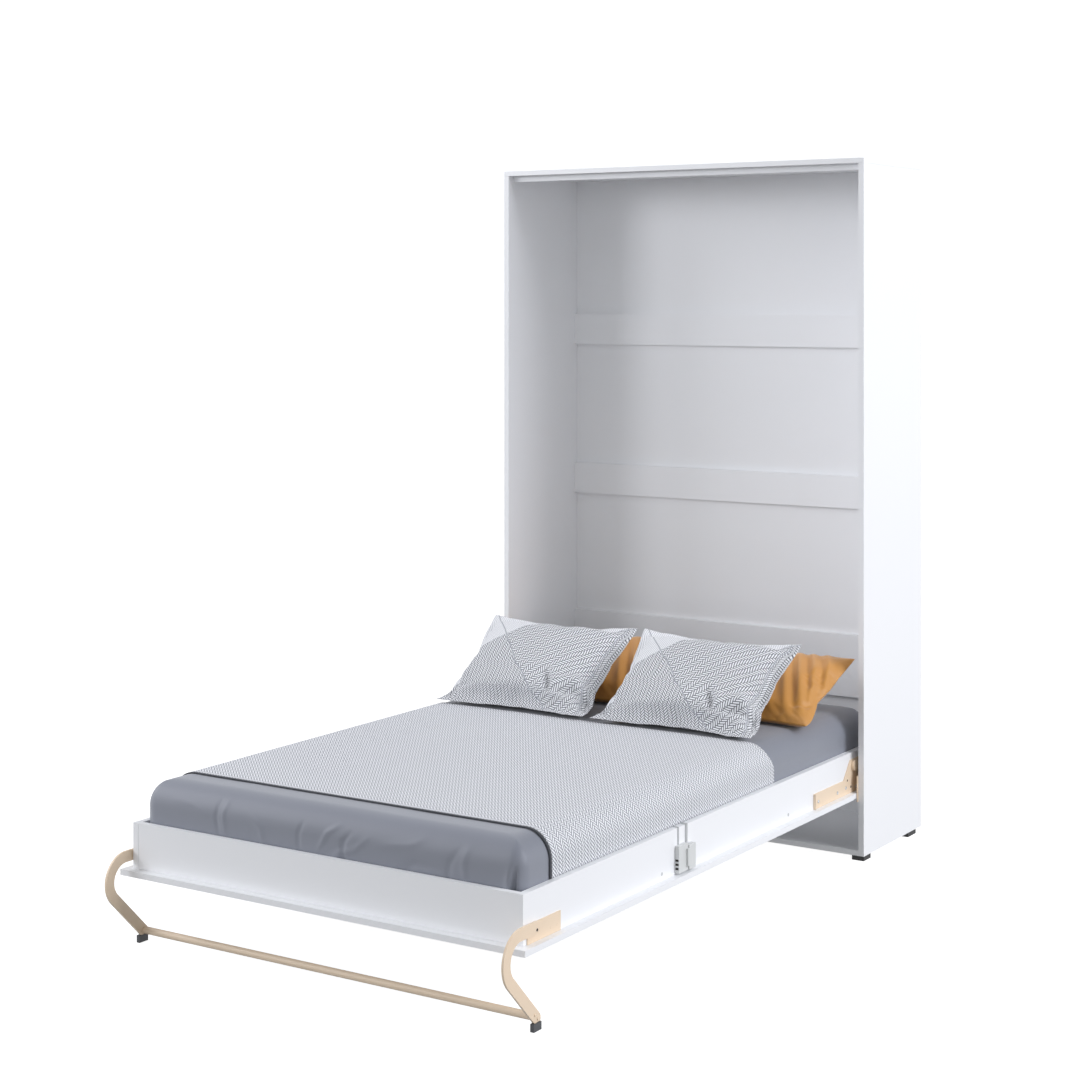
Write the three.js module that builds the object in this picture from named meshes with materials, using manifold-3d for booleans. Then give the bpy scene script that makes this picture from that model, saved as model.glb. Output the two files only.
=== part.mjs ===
// Vertical wall bed, 1200 x 2000 mm sleeping size, shown folded down.
// Frame: +X to the bed's right, +Y towards the wall, +Z up, floor at z = 0, millimetres.
// Everything is laid out from the cabinet's front plane (y = 0) and moved once at the end.
import * as THREE from "three";
import { mergeVertices } from "three/addons/utils/BufferGeometryUtils.js";
import Module from "manifold-3d";

const wasm = await Module();
wasm.setup();

// ---- Driving dimensions -------------------------------------------------------------
const GAP = 0.3; // between pieces that touch
const WELD = 1; // how far a welded piece sinks into the one that carries it
const STUD_SIDES = 16;
const TUBE_SIDES = 18;
const ROD_SIDES = 14;
const DISC_SIDES = 32;
const POCKET_SIDES = 40;
const MATTRESS = { width: 1219, length: 2009, thickness: 181.4, round: 70, corner: 40 };
const MATTRESS_HEAD = 180; // head end of the mattress, behind the cabinet's front plane
const MATTRESS_PLAY = { side: 1, head: 1, foot: 2 }; // between the mattress and the frame

const RAIL = 18; // board thickness of the bed frame
const FRAME_HEIGHT = 122.7;
const FRAME_BOTTOM = 209.6;
const SLAT_RISE = 55.7; // slats' upper face above the rails' lower edge
const SLAT = { count: 9, width: 68, thickness: 8, foot: 130, head: 158 };
const SLAT_PLAY = 3; // slats short of each rail
const CLEAT = { width: 20, height: 30 };
const END_SETBACK = 0.5; // the end boards sit this far inside the rails' ends

const SIDE_PANEL = 18;
const BOARD = 16; // board thickness of top, bottom, rails and front panel
const BACK_PANEL = 8;
const BACK_REBATE = 1; // back panel in from the side panels' back edges
const CABINET_DEPTH = 453;
const SIDE_GAP = 24; // between a rail and the cabinet's side panel
const FOOT_HEIGHT = 13.6; // cabinet feet
const FRONT_FOOT = { width: 40, depth: 52 };
const REAR_FOOT = { width: 40, depth: 63, inset: 45 };
const STOP_RAIL = { setback: 33, height: 19 };
const BACK_RAILS = { lower: [415, 622], middle: [1042, 1149], upper: [1577, 1685] };

const FRONT_OVERHANG = { foot: 26, head: 13 }; // front panel past the frame's end boards
const FRONT_CLEARANCE = 1.4; // front panel to the cabinet's side panels
const NOTCHED_FRONT_CLEARANCE = 4.5; // where it passes the pivot plates
const FRONT_NOTCH = -30; // where the narrower lower part of the front panel begins
const CLOSED_EDGE_GAP = 36; // above the front panel when the bed is up: the hand gap

const PIVOT_RISE = 28.85; // pivot above the front panel's face, and behind the cabinet's front
const PLATE = 3; // steel plate thickness
const PIVOT_PIN_RADIUS = 6;
const PIVOT_PLATE = { width: 70, height: 80 };
const BRACKET = { foot: -270, head: 124, height: 46, lip: 5, lipLap: 1, lipDepth: 3 };
const UPRIGHT = { foot: -61, slopeTop: -14, head: 70, height: 101.4 };
const STUD_RADIUS = 4;
const SIDE_BOLT = { y: 8, height: 82.4, radius: 16, thickness: 8 };

const STRUT = {
  bore: 3.4,
  radius: 7.5,
  wall: 3,
  length: 215,
  rod: 3,
  eye: 9,
  eyeWidth: 10,
  eyeLap: 3,
};
const STRUT_ROD_START = 30; // inner end of the rod below the upper stud, bed down
const STRUT_REACH = { y: 60, z: 8.5 }; // lower strut stud from the bed pivot
const STRUT_ANCHOR = { y: 350, z: 203 }; // upper strut stud from the bed pivot
const STRUT_OFF_CENTRE = 0.5; // strut nearer the side panel than the rail
const ANCHOR_PLATE = { width: 50, height: 70 };

const LEG_PIVOT_INSET = { y: 47, z: 29.4 }; // from the rail's lower foot corner
const LEG_PLATE = { foot: 15, head: 161, height: 47.4 };
const LEG_BAR = { width: 30, thickness: 6 };
const LEG_BEND = { out: 21, radius: 61.5, z: 183 }; // centre past the frame's foot
const LEG_END = { inset: 47, z: 28, radius: 15 };
const CROSSBAR = { inset: 49, z: 30, radius: 10, sides: 24 };
const PAD = { inset: 27, width: 11, length: 33, height: 19.6, wall: 1.3 };
const LEG_BOLT_RADIUS = 4;

const SPREAD = { thickness: 3, inset: 127, head: -500, drop: 117 };
const BUCKLE = { inset: 731, length: 88, thickness: 19, rise: 4.4, height: 79 };
const PILLOW_RIM = 5; // thickness along the seam
const EAR_PULL = 0.05; // how far the middle of each edge is drawn in
const MUSTARD_PILLOW = { size: [560, 390, 140], y: -113, rise: 90, tilt: 26, left: -255, right: 335 };
const WOVEN_PILLOW = { size: [555, 420, 150], y: -375, rise: 124, tilt: 34, left: -288, right: 287 };
const STRAP = { width: 26, thickness: 1.5, reach: 14 };

// ---- Sizes that follow from them ----------------------------------------------------
const MATTRESS_FOOT = MATTRESS_HEAD - MATTRESS.length;
const FRAME_HEAD = MATTRESS_HEAD + MATTRESS_PLAY.head + RAIL; // outer face of the head board
const FRAME_FOOT = MATTRESS_FOOT - MATTRESS_PLAY.foot - RAIL; // outer face of the foot board
const FRAME_TOP = FRAME_BOTTOM + FRAME_HEIGHT;
const RAIL_INNER = MATTRESS.width / 2 + MATTRESS_PLAY.side;
const RAIL_OUTER = RAIL_INNER + RAIL;
const INNER_HALF = RAIL_OUTER + SIDE_GAP;
const HALF_WIDTH = INNER_HALF + SIDE_PANEL;
const SLAT_TOP = FRAME_BOTTOM + SLAT_RISE;
const SLAT_BOTTOM = SLAT_TOP - SLAT.thickness;
const MATTRESS_BOTTOM = SLAT_TOP + GAP;
const MATTRESS_TOP = MATTRESS_BOTTOM + MATTRESS.thickness;
const SPREAD_TOP = MATTRESS_TOP + GAP + SPREAD.thickness;
const FRONT_TOP = FRAME_BOTTOM - GAP;
const FRONT_BOTTOM = FRONT_TOP - BOARD;
const FRONT_HALF = INNER_HALF - FRONT_CLEARANCE;
const FRONT_FOOT_EDGE = FRAME_FOOT - FRONT_OVERHANG.foot;
const FRONT_HEAD_EDGE = FRAME_HEAD + FRONT_OVERHANG.head;
// Folding up by 90 degrees takes (y, z) to (z - FRONT_BOTTOM, pivot sum - y), so the
// front panel's face ends flush with the cabinet's front.
const BED_PIVOT = { y: PIVOT_RISE, z: FRONT_BOTTOM + PIVOT_RISE };
const CLOSED_TOP = BED_PIVOT.y + BED_PIVOT.z - FRONT_FOOT_EDGE;
const SIDE_TOP = CLOSED_TOP + CLOSED_EDGE_GAP;
const CABINET_HEIGHT = SIDE_TOP + BOARD;
const BACK_FACE = CABINET_DEPTH - BACK_REBATE - BACK_PANEL;
const PLATE_X = RAIL_OUTER + GAP; // inner face of every plate on the bed's rails
const BAR_X = PLATE_X + PLATE + GAP;
const STRUT_X = RAIL_OUTER + SIDE_GAP / 2 + STRUT_OFF_CENTRE;
const LEG_PIVOT = { y: FRAME_FOOT + LEG_PIVOT_INSET.y, z: FRAME_BOTTOM + LEG_PIVOT_INSET.z };
const BEND_Y = FRAME_FOOT - LEG_BEND.out;
const LEG_END_Y = FRAME_FOOT + LEG_END.inset;
const LEG_LOWEST = BEND_Y - LEG_BEND.radius - LEG_BAR.width / 2;
const CENTRE_Y = (LEG_LOWEST + CABINET_DEPTH) / 2;

// ---- Finishes -----------------------------------------------------------------------
const finish = (color, roughness, metalness = 0) => ({ color, roughness, metalness });
const WHITE_BOARD = finish("#eef0f3", 0.45);
const BEIGE_STEEL = finish("#e6d3b8", 0.5, 0.2);
const ZINC = finish("#b9bcc0", 0.35, 0.8);
const BLACK_PLASTIC = finish("#2b2c2f", 0.6);
const BIRCH = finish("#d9bd8f", 0.6);
const SHEET_GREY = finish("#9aa0ab", 0.9);
const SPREAD_GREY = finish("#c9cacd", 0.95);
const MUSTARD = finish("#c98a3a", 0.8);
const WEBBING = finish("#a9abae", 0.8);
const DARK_STEEL = finish("#3b3d40", 0.4, 0.6);

// ---- Small helpers ------------------------------------------------------------------
const root = new THREE.Group();
const cabinet = new THREE.Group();
const bed = new THREE.Group();
const leg = new THREE.Group();
const struts = new THREE.Group();
root.add(cabinet, bed, leg, struts);
const SIDES = [
  ["left", -1],
  ["right", 1],
];

function add(group, name, geometry, look, position = [0, 0, 0]) {
  const mesh = new THREE.Mesh(geometry, new THREE.MeshStandardMaterial(look));
  mesh.name = name;
  mesh.position.set(...position);
  group.add(mesh);
  return mesh;
}

// A box given by its limits along each axis.
function block(group, name, x, y, z, look) {
  const geometry = new THREE.BoxGeometry(x[1] - x[0], y[1] - y[0], z[1] - z[0]);
  const centre = [(x[0] + x[1]) / 2, (y[0] + y[1]) / 2, (z[0] + z[1]) / 2];
  return add(group, name, geometry, look, centre);
}

// Limits in x of a layer that starts `from` the middle and is `thick`, on either side.
function layer(side, from, thick) {
  return side > 0 ? [from, from + thick] : [-from - thick, -from];
}

// Extrudes a shape drawn in (y, z) along x; the result starts at x = 0.
function plateGeometry(shape, thickness, curveSegments = 12) {
  const geometry = new THREE.ExtrudeGeometry(shape, {
    depth: thickness,
    bevelEnabled: false,
    curveSegments,
  });
  const turn = new THREE.Matrix4().set(0, 0, 1, 0, 1, 0, 0, 0, 0, 1, 0, 0, 0, 0, 0, 1);
  return geometry.applyMatrix4(turn);
}

function plate(group, name, shape, x, look, curveSegments) {
  return add(group, name, plateGeometry(shape, x[1] - x[0], curveSegments), look, [x[0], 0, 0]);
}

// Extrudes a profile drawn in (x, z) along y, between two values of y.
function barGeometry(shape, y, curveSegments = 8) {
  const geometry = new THREE.ExtrudeGeometry(shape, {
    depth: y[1] - y[0],
    bevelEnabled: false,
    curveSegments,
  });
  return geometry.rotateX(Math.PI / 2).translate(0, y[1], 0);
}

function rod(group, name, radius, x, y, z, look, segments = 20) {
  const geometry = new THREE.CylinderGeometry(radius, radius, x[1] - x[0], segments);
  geometry.rotateZ(Math.PI / 2);
  return add(group, name, geometry, look, [(x[0] + x[1]) / 2, y, z]);
}

function rectangle(y, z) {
  const shape = new THREE.Shape();
  shape.moveTo(y[0], z[0]);
  shape.lineTo(y[1], z[0]);
  shape.lineTo(y[1], z[1]);
  shape.lineTo(y[0], z[1]);
  shape.closePath();
  return shape;
}

function punch(shape, y, z, radius) {
  const hole = new THREE.Path();
  hole.absarc(y, z, radius, 0, 2 * Math.PI, true);
  shape.holes.push(hole);
}

function toSolid(geometry) {
  const bare = geometry.clone();
  bare.deleteAttribute("normal");
  bare.deleteAttribute("uv");
  const merged = mergeVertices(bare, 1e-4);
  const vertProperties = new Float32Array(merged.attributes.position.array);
  const triVerts = new Uint32Array(merged.index.array);
  return new wasm.Manifold(new wasm.Mesh({ numProp: 3, vertProperties, triVerts }));
}

function fromSolid(solid) {
  const mesh = solid.getMesh();
  const geometry = new THREE.BufferGeometry();
  geometry.setAttribute("position", new THREE.BufferAttribute(mesh.vertProperties, 3));
  geometry.setIndex(new THREE.BufferAttribute(mesh.triVerts, 1));
  geometry.computeVertexNormals();
  return geometry;
}

// ---- Cabinet ------------------------------------------------------------------------
function buildCabinetBoards() {
  for (const [word, side] of SIDES) {
    const x = layer(side, INNER_HALF, SIDE_PANEL);
    const z = [FOOT_HEIGHT + GAP, SIDE_TOP - GAP];
    block(cabinet, `side_panel_${word}`, x, [0, CABINET_DEPTH], z, WHITE_BOARD);
  }
  const inner = [-INNER_HALF + GAP, INNER_HALF - GAP];
  const full = [-HALF_WIDTH, HALF_WIDTH];
  const bottom = [FOOT_HEIGHT + GAP, FOOT_HEIGHT + GAP + BOARD];
  const deep = [0, BACK_FACE - GAP];
  block(cabinet, "top_panel", full, [0, CABINET_DEPTH], [SIDE_TOP, CABINET_HEIGHT], WHITE_BOARD);
  block(cabinet, "bottom_panel", inner, deep, bottom, WHITE_BOARD);
  const back = [BACK_FACE, BACK_FACE + BACK_PANEL];
  block(cabinet, "back_panel", inner, back, [bottom[0], SIDE_TOP - GAP], WHITE_BOARD);
  const stopY = [STOP_RAIL.setback, STOP_RAIL.setback + BOARD];
  const stopZ = [SIDE_TOP - STOP_RAIL.height - GAP, SIDE_TOP - GAP];
  block(cabinet, "top_stop_rail", inner, stopY, stopZ, WHITE_BOARD);
}

function buildBackRails() {
  const inner = [-INNER_HALF + GAP, INNER_HALF - GAP];
  const y = [BACK_FACE - GAP - BOARD, BACK_FACE - GAP];
  for (const [word, z] of Object.entries(BACK_RAILS)) {
    block(cabinet, `${word}_back_rail`, inner, y, z, WHITE_BOARD);
  }
}

function buildCabinetFeet() {
  const rearBack = CABINET_DEPTH - REAR_FOOT.inset;
  for (const [word, side] of SIDES) {
    const x = layer(side, HALF_WIDTH - FRONT_FOOT.width, FRONT_FOOT.width);
    const rearX = layer(side, HALF_WIDTH - REAR_FOOT.width, REAR_FOOT.width);
    const rearY = [rearBack - REAR_FOOT.depth, rearBack];
    const z = [0, FOOT_HEIGHT];
    block(cabinet, `front_foot_${word}`, x, [0, FRONT_FOOT.depth], z, BLACK_PLASTIC);
    block(cabinet, `rear_foot_${word}`, rearX, rearY, z, BLACK_PLASTIC);
  }
}

// A steel plate on each side panel, and the pin that the bed turns on.
function buildBedPivots() {
  for (const [word, side] of SIDES) {
    const half = [PIVOT_PLATE.width / 2, PIVOT_PLATE.height / 2];
    const y = [BED_PIVOT.y - half[0], BED_PIVOT.y + half[0]];
    const z = [BED_PIVOT.z - half[1], BED_PIVOT.z + half[1]];
    const shape = rectangle(y, z);
    punch(shape, BED_PIVOT.y, BED_PIVOT.z, PIVOT_PIN_RADIUS + GAP);
    const x = layer(side, INNER_HALF - GAP - PLATE, PLATE);
    plate(cabinet, `pivot_plate_${word}`, shape, x, BEIGE_STEEL);
    const pin = layer(side, PLATE_X, INNER_HALF - GAP - PLATE_X);
    rod(cabinet, `pivot_pin_${word}`, PIVOT_PIN_RADIUS, pin, BED_PIVOT.y, BED_PIVOT.z, ZINC);
  }
}

function buildStrutAnchors() {
  const y = BED_PIVOT.y + STRUT_ANCHOR.y;
  const z = BED_PIVOT.z + STRUT_ANCHOR.z;
  for (const [word, side] of SIDES) {
    const plateShape = rectangle(
      [-ANCHOR_PLATE.width / 2, ANCHOR_PLATE.width / 2],
      [-ANCHOR_PLATE.height / 2, ANCHOR_PLATE.height / 2],
    );
    const outer = INNER_HALF - GAP;
    const base = plateGeometry(plateShape, PLATE).translate(outer - PLATE, 0, 0);
    const inner = STRUT_X - STRUT.eyeWidth / 2;
    const length = outer - WELD - inner;
    const stud = new THREE.CylinderGeometry(STUD_RADIUS, STUD_RADIUS, length, STUD_SIDES);
    stud.rotateZ(Math.PI / 2);
    stud.translate(inner + length / 2, 0, 0);
    const joined = fromSolid(toSolid(base).add(toSolid(stud)));
    if (side < 0) joined.rotateZ(Math.PI);
    add(cabinet, `strut_anchor_${word}`, joined, BEIGE_STEEL, [0, y, z]);
  }
}

// ---- Bed frame ----------------------------------------------------------------------
function buildBedFrame() {
  const z = [FRAME_BOTTOM, FRAME_TOP];
  for (const [word, side] of SIDES) {
    const x = layer(side, RAIL_INNER, RAIL);
    block(bed, `side_rail_${word}`, x, [FRAME_FOOT, FRAME_HEAD], z, WHITE_BOARD);
    const cleatX = layer(side, RAIL_INNER - GAP - CLEAT.width, CLEAT.width);
    const cleatY = [FRAME_FOOT + 2 * RAIL, FRAME_HEAD - 2 * RAIL];
    const cleatZ = [SLAT_BOTTOM - GAP - CLEAT.height, SLAT_BOTTOM - GAP];
    block(bed, `slat_cleat_${word}`, cleatX, cleatY, cleatZ, BIRCH);
  }
  const inner = [-RAIL_INNER + GAP, RAIL_INNER - GAP];
  const footY = [FRAME_FOOT + END_SETBACK, FRAME_FOOT + RAIL];
  block(bed, "foot_board", inner, footY, z, WHITE_BOARD);
  const headY = [FRAME_HEAD - RAIL, FRAME_HEAD - END_SETBACK];
  block(bed, "head_board", inner, headY, z, WHITE_BOARD);
}

// The front of the closed cabinet is the underside of the open bed.
function buildFrontPanel() {
  const wide = FRONT_HALF;
  const narrow = INNER_HALF - NOTCHED_FRONT_CLEARANCE;
  const shape = new THREE.Shape();
  shape.moveTo(-wide, FRONT_FOOT_EDGE);
  shape.lineTo(wide, FRONT_FOOT_EDGE);
  shape.lineTo(wide, FRONT_NOTCH);
  shape.lineTo(narrow, FRONT_NOTCH);
  shape.lineTo(narrow, FRONT_HEAD_EDGE);
  shape.lineTo(-narrow, FRONT_HEAD_EDGE);
  shape.lineTo(-narrow, FRONT_NOTCH);
  shape.lineTo(-wide, FRONT_NOTCH);
  shape.closePath();
  const geometry = new THREE.ExtrudeGeometry(shape, { depth: BOARD, bevelEnabled: false });
  add(bed, "front_panel", geometry, WHITE_BOARD, [0, 0, FRONT_BOTTOM]);
}

function buildSlats() {
  const half = RAIL_INNER - SLAT_PLAY;
  const first = FRAME_FOOT + SLAT.foot;
  const last = FRAME_HEAD - SLAT.head;
  for (let i = 0; i < SLAT.count; i += 1) {
    const middle = first + ((last - first) * i) / (SLAT.count - 1);
    const y = [middle - SLAT.width / 2, middle + SLAT.width / 2];
    const name = `slat_${String(i + 1).padStart(2, "0")}`;
    block(bed, name, [-half, half], y, [SLAT_BOTTOM, SLAT_TOP], BIRCH);
  }
}

// Steel brackets that carry the bed frame on the pivot pins.
function buildBedBrackets() {
  const bottom = FRAME_BOTTOM;
  const top = bottom + BRACKET.height;
  const shape = new THREE.Shape();
  shape.moveTo(BRACKET.foot, bottom);
  shape.lineTo(BRACKET.head, bottom);
  shape.lineTo(BRACKET.head, top);
  shape.lineTo(UPRIGHT.head, top);
  shape.lineTo(UPRIGHT.head, bottom + UPRIGHT.height);
  shape.lineTo(UPRIGHT.slopeTop, bottom + UPRIGHT.height);
  shape.lineTo(UPRIGHT.foot, top);
  shape.lineTo(BRACKET.foot, top);
  shape.closePath();
  punch(shape, BED_PIVOT.y, BED_PIVOT.z, PIVOT_PIN_RADIUS + GAP);
  const y = BED_PIVOT.y + STRUT_REACH.y;
  const z = BED_PIVOT.z + STRUT_REACH.z;
  const boltZ = bottom + SIDE_BOLT.height;
  const studEnd = STRUT_X - STRUT.eyeWidth / 2 - GAP;
  for (const [word, side] of SIDES) {
    const base = plateGeometry(shape, PLATE).translate(PLATE_X, 0, 0);
    const studStart = PLATE_X + WELD;
    const studLength = studEnd - studStart;
    const stud = new THREE.CylinderGeometry(STUD_RADIUS, STUD_RADIUS, studLength, STUD_SIDES);
    stud.rotateZ(Math.PI / 2);
    stud.translate((studEnd + studStart) / 2, y, z);
    const lipY = [BRACKET.foot - BRACKET.lipLap, BRACKET.foot - BRACKET.lipLap + BRACKET.lipDepth];
    const lip = new THREE.BoxGeometry(BRACKET.lip + PLATE, lipY[1] - lipY[0], BRACKET.height);
    lip.translate(PLATE_X + (BRACKET.lip + PLATE) / 2, (lipY[0] + lipY[1]) / 2, (bottom + top) / 2);
    const joined = toSolid(base).add(toSolid(stud)).add(toSolid(lip));
    const geometry = fromSolid(joined);
    if (side < 0) mirrorX(geometry);
    add(bed, `bed_bracket_${word}`, geometry, BEIGE_STEEL);
    const bolt = layer(side, PLATE_X + PLATE + GAP, SIDE_BOLT.thickness);
    rod(bed, `bracket_bolt_${word}`, SIDE_BOLT.radius, bolt, SIDE_BOLT.y, boltZ, BEIGE_STEEL, DISC_SIDES);
  }
}

// Mirrors a geometry in x = 0 and turns its faces out again.
function mirrorX(geometry) {
  geometry.scale(-1, 1, 1);
  const index = geometry.index.array;
  for (let i = 0; i < index.length; i += 3) {
    const first = index[i];
    index[i] = index[i + 1];
    index[i + 1] = first;
  }
  geometry.computeVertexNormals();
}

// ---- Gas struts ---------------------------------------------------------------------
// Each strut hangs from its anchor stud and pushes down on the bed behind the pivot.
function buildStruts() {
  const top = { y: BED_PIVOT.y + STRUT_ANCHOR.y, z: BED_PIVOT.z + STRUT_ANCHOR.z };
  const foot = { y: BED_PIVOT.y + STRUT_REACH.y, z: BED_PIVOT.z + STRUT_REACH.z };
  const reach = Math.hypot(top.y - foot.y, top.z - foot.z);
  const tilt = Math.atan2(top.y - foot.y, top.z - foot.z);
  for (const [word, side] of SIDES) {
    const holder = new THREE.Group();
    holder.position.set(side * STRUT_X, top.y, top.z);
    holder.rotation.x = -tilt;
    struts.add(holder);
    const eyeTop = eyeGeometry();
    const body = new THREE.LatheGeometry(
      [
        [0, STRUT.eyeLap - STRUT.eye],
        [STRUT.radius, STRUT.eyeLap - STRUT.eye],
        [STRUT.radius, -STRUT.length],
        [STRUT.bore, -STRUT.length],
        [STRUT.bore, -STRUT.eye - STRUT.wall],
        [0, -STRUT.eye - STRUT.wall],
      ]
        .reverse()
        .map(([x, y]) => new THREE.Vector2(x, y)),
      TUBE_SIDES,
    ).rotateX(Math.PI / 2);
    const holeRadius = STUD_RADIUS + GAP;
    const holeLength = 4 * STRUT.eyeWidth;
    const hole = new THREE.CylinderGeometry(holeRadius, holeRadius, holeLength, STUD_SIDES);
    hole.rotateZ(Math.PI / 2);
    const cylinder = toSolid(body).add(toSolid(eyeTop)).subtract(toSolid(hole));
    add(holder, `strut_cylinder_${word}`, fromSolid(cylinder), DARK_STEEL);
    const rodEnds = [STRUT_ROD_START, reach - STRUT.eye + STRUT.eyeLap];
    const rodLength = rodEnds[1] - rodEnds[0];
    const shaft = new THREE.CylinderGeometry(STRUT.rod, STRUT.rod, rodLength, ROD_SIDES);
    shaft.rotateX(Math.PI / 2);
    shaft.translate(0, 0, -(rodEnds[0] + rodEnds[1]) / 2);
    const eyeFoot = eyeGeometry().translate(0, 0, -reach);
    const footHole = hole.clone().translate(0, 0, -reach);
    const rodSolid = toSolid(shaft).add(toSolid(eyeFoot)).subtract(toSolid(footHole));
    add(holder, `strut_rod_${word}`, fromSolid(rodSolid), ZINC);
  }
}

function eyeGeometry() {
  const eye = new THREE.CylinderGeometry(STRUT.eye, STRUT.eye, STRUT.eyeWidth, 24);
  return eye.rotateZ(Math.PI / 2);
}

// ---- Folding leg --------------------------------------------------------------------
function buildLegPlates() {
  const y = [FRAME_FOOT + LEG_PLATE.foot, FRAME_FOOT + LEG_PLATE.head];
  const shape = rectangle(y, [FRAME_BOTTOM, FRAME_BOTTOM + LEG_PLATE.height]);
  punch(shape, LEG_PIVOT.y, LEG_PIVOT.z, LEG_BOLT_RADIUS + GAP);
  for (const [word, side] of SIDES) {
    plate(bed, `leg_plate_${word}`, shape, layer(side, PLATE_X, PLATE), BEIGE_STEEL);
    const bolt = layer(side, PLATE_X, BAR_X + LEG_BAR.thickness - 1 - PLATE_X);
    rod(bed, `leg_bolt_${word}`, LEG_BOLT_RADIUS, bolt, LEG_PIVOT.y, LEG_PIVOT.z, DARK_STEEL, 16);
  }
}

// The bar runs from its head on the pivot, round the front panel's edge, down to the pad.
function legBarShape() {
  const half = LEG_BAR.width / 2;
  const outer = LEG_BEND.radius + half;
  const inner = LEG_BEND.radius - half;
  const centreZ = LEG_BEND.z + LEG_BEND.radius;
  const quarter = Math.PI / 2;
  const turnEnd = Math.PI * 1.25;
  const shape = new THREE.Shape();
  shape.moveTo(LEG_PIVOT.y, centreZ + half);
  shape.absarc(BEND_Y, LEG_BEND.z, outer, quarter, turnEnd, false);
  shape.absarc(LEG_END_Y, LEG_END.z, LEG_END.radius, turnEnd, turnEnd + Math.PI, false);
  shape.absarc(BEND_Y, LEG_BEND.z, inner, turnEnd, quarter, true);
  shape.lineTo(LEG_PIVOT.y, centreZ - half);
  shape.absarc(LEG_PIVOT.y, centreZ, half, -quarter, quarter, false);
  punch(shape, LEG_PIVOT.y, LEG_PIVOT.z, LEG_BOLT_RADIUS + GAP);
  return shape;
}

function buildLeg() {
  const shape = legBarShape();
  for (const [word, side] of SIDES) {
    const x = layer(side, BAR_X, LEG_BAR.thickness);
    plate(leg, `leg_bar_${word}`, shape, x, BEIGE_STEEL, 16);
    buildLegPad(word, side);
  }
  const span = [GAP - BAR_X, BAR_X - GAP];
  const y = FRAME_FOOT + CROSSBAR.inset;
  rod(leg, "leg_crossbar", CROSSBAR.radius, span, y, CROSSBAR.z, BEIGE_STEEL, CROSSBAR.sides);
}

// A pad with a pocket that takes the bar's rounded end.
function buildLegPad(word, side) {
  const x = layer(side, BAR_X - PAD.wall, PAD.width);
  const pocketX = layer(side, BAR_X - GAP, LEG_BAR.thickness + 2 * GAP);
  const base = new THREE.BoxGeometry(PAD.width, PAD.length, PAD.height);
  base.translate((x[0] + x[1]) / 2, FRAME_FOOT + PAD.inset + PAD.length / 2, PAD.height / 2);
  const pocketRadius = LEG_END.radius + 2 * GAP;
  const pocketWidth = pocketX[1] - pocketX[0];
  const pocket = new THREE.CylinderGeometry(pocketRadius, pocketRadius, pocketWidth, POCKET_SIDES);
  pocket.rotateZ(Math.PI / 2);
  pocket.translate((pocketX[0] + pocketX[1]) / 2, LEG_END_Y, LEG_END.z);
  const pad = toSolid(base).subtract(toSolid(pocket));
  add(leg, `leg_pad_${word}`, fromSolid(pad), BLACK_PLASTIC);
}

// ---- Mattress, bedding and strap ----------------------------------------------------
// A section across the bed with rounded upper edges, from z = bottom up to z = top.
function crownShape(half, bottom, top, round) {
  const shape = new THREE.Shape();
  shape.moveTo(-half, bottom);
  shape.lineTo(half, bottom);
  shape.absarc(half - round, top - round, round, 0, Math.PI / 2, false);
  shape.absarc(-half + round, top - round, round, Math.PI / 2, Math.PI, false);
  shape.closePath();
  return shape;
}

function roundedPlan(halfWidth, halfLength, radius) {
  const shape = new THREE.Shape();
  const [x, y] = [halfWidth - radius, halfLength - radius];
  const quarter = Math.PI / 2;
  shape.absarc(x, y, radius, 0, quarter, false);
  shape.absarc(-x, y, radius, quarter, 2 * quarter, false);
  shape.absarc(-x, -y, radius, 2 * quarter, 3 * quarter, false);
  shape.absarc(x, -y, radius, 3 * quarter, 4 * quarter, false);
  shape.closePath();
  return shape;
}

function buildMattress() {
  const { round, length } = MATTRESS;
  const half = MATTRESS.width / 2;
  const [bottom, top] = [MATTRESS_BOTTOM, MATTRESS_TOP];
  const across = barGeometry(crownShape(half, bottom, top, round), [MATTRESS_FOOT, MATTRESS_HEAD]);
  const along = crownShape(length / 2, bottom, top, round);
  const longitudinal = plateGeometry(along, MATTRESS.width, 8);
  longitudinal.translate(-half, MATTRESS_FOOT + length / 2, 0);
  const plan = new THREE.ExtrudeGeometry(roundedPlan(half, length / 2, MATTRESS.corner), {
    depth: MATTRESS.thickness,
    bevelEnabled: false,
    curveSegments: 8,
  });
  plan.translate(0, MATTRESS_FOOT + length / 2, bottom);
  const solid = toSolid(across).intersect(toSolid(longitudinal)).intersect(toSolid(plan));
  add(bed, "mattress", fromSolid(solid), SHEET_GREY);
}

function buildBedspread() {
  const { thickness, head, drop } = SPREAD;
  const { round } = MATTRESS;
  const foot = MATTRESS_FOOT + SPREAD.inset;
  const half = MATTRESS.width / 2 + GAP;
  const low = SPREAD_TOP - drop;
  const skin = crownShape(half + thickness, low, SPREAD_TOP, round + thickness);
  const outer = barGeometry(skin, [foot, head]);
  const hollow = crownShape(half, low - 1, SPREAD_TOP - thickness, round);
  const inner = barGeometry(hollow, [foot - 1, head + 1]);
  add(bed, "bedspread", fromSolid(toSolid(outer).subtract(toSolid(inner))), SPREAD_GREY);
}

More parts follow.
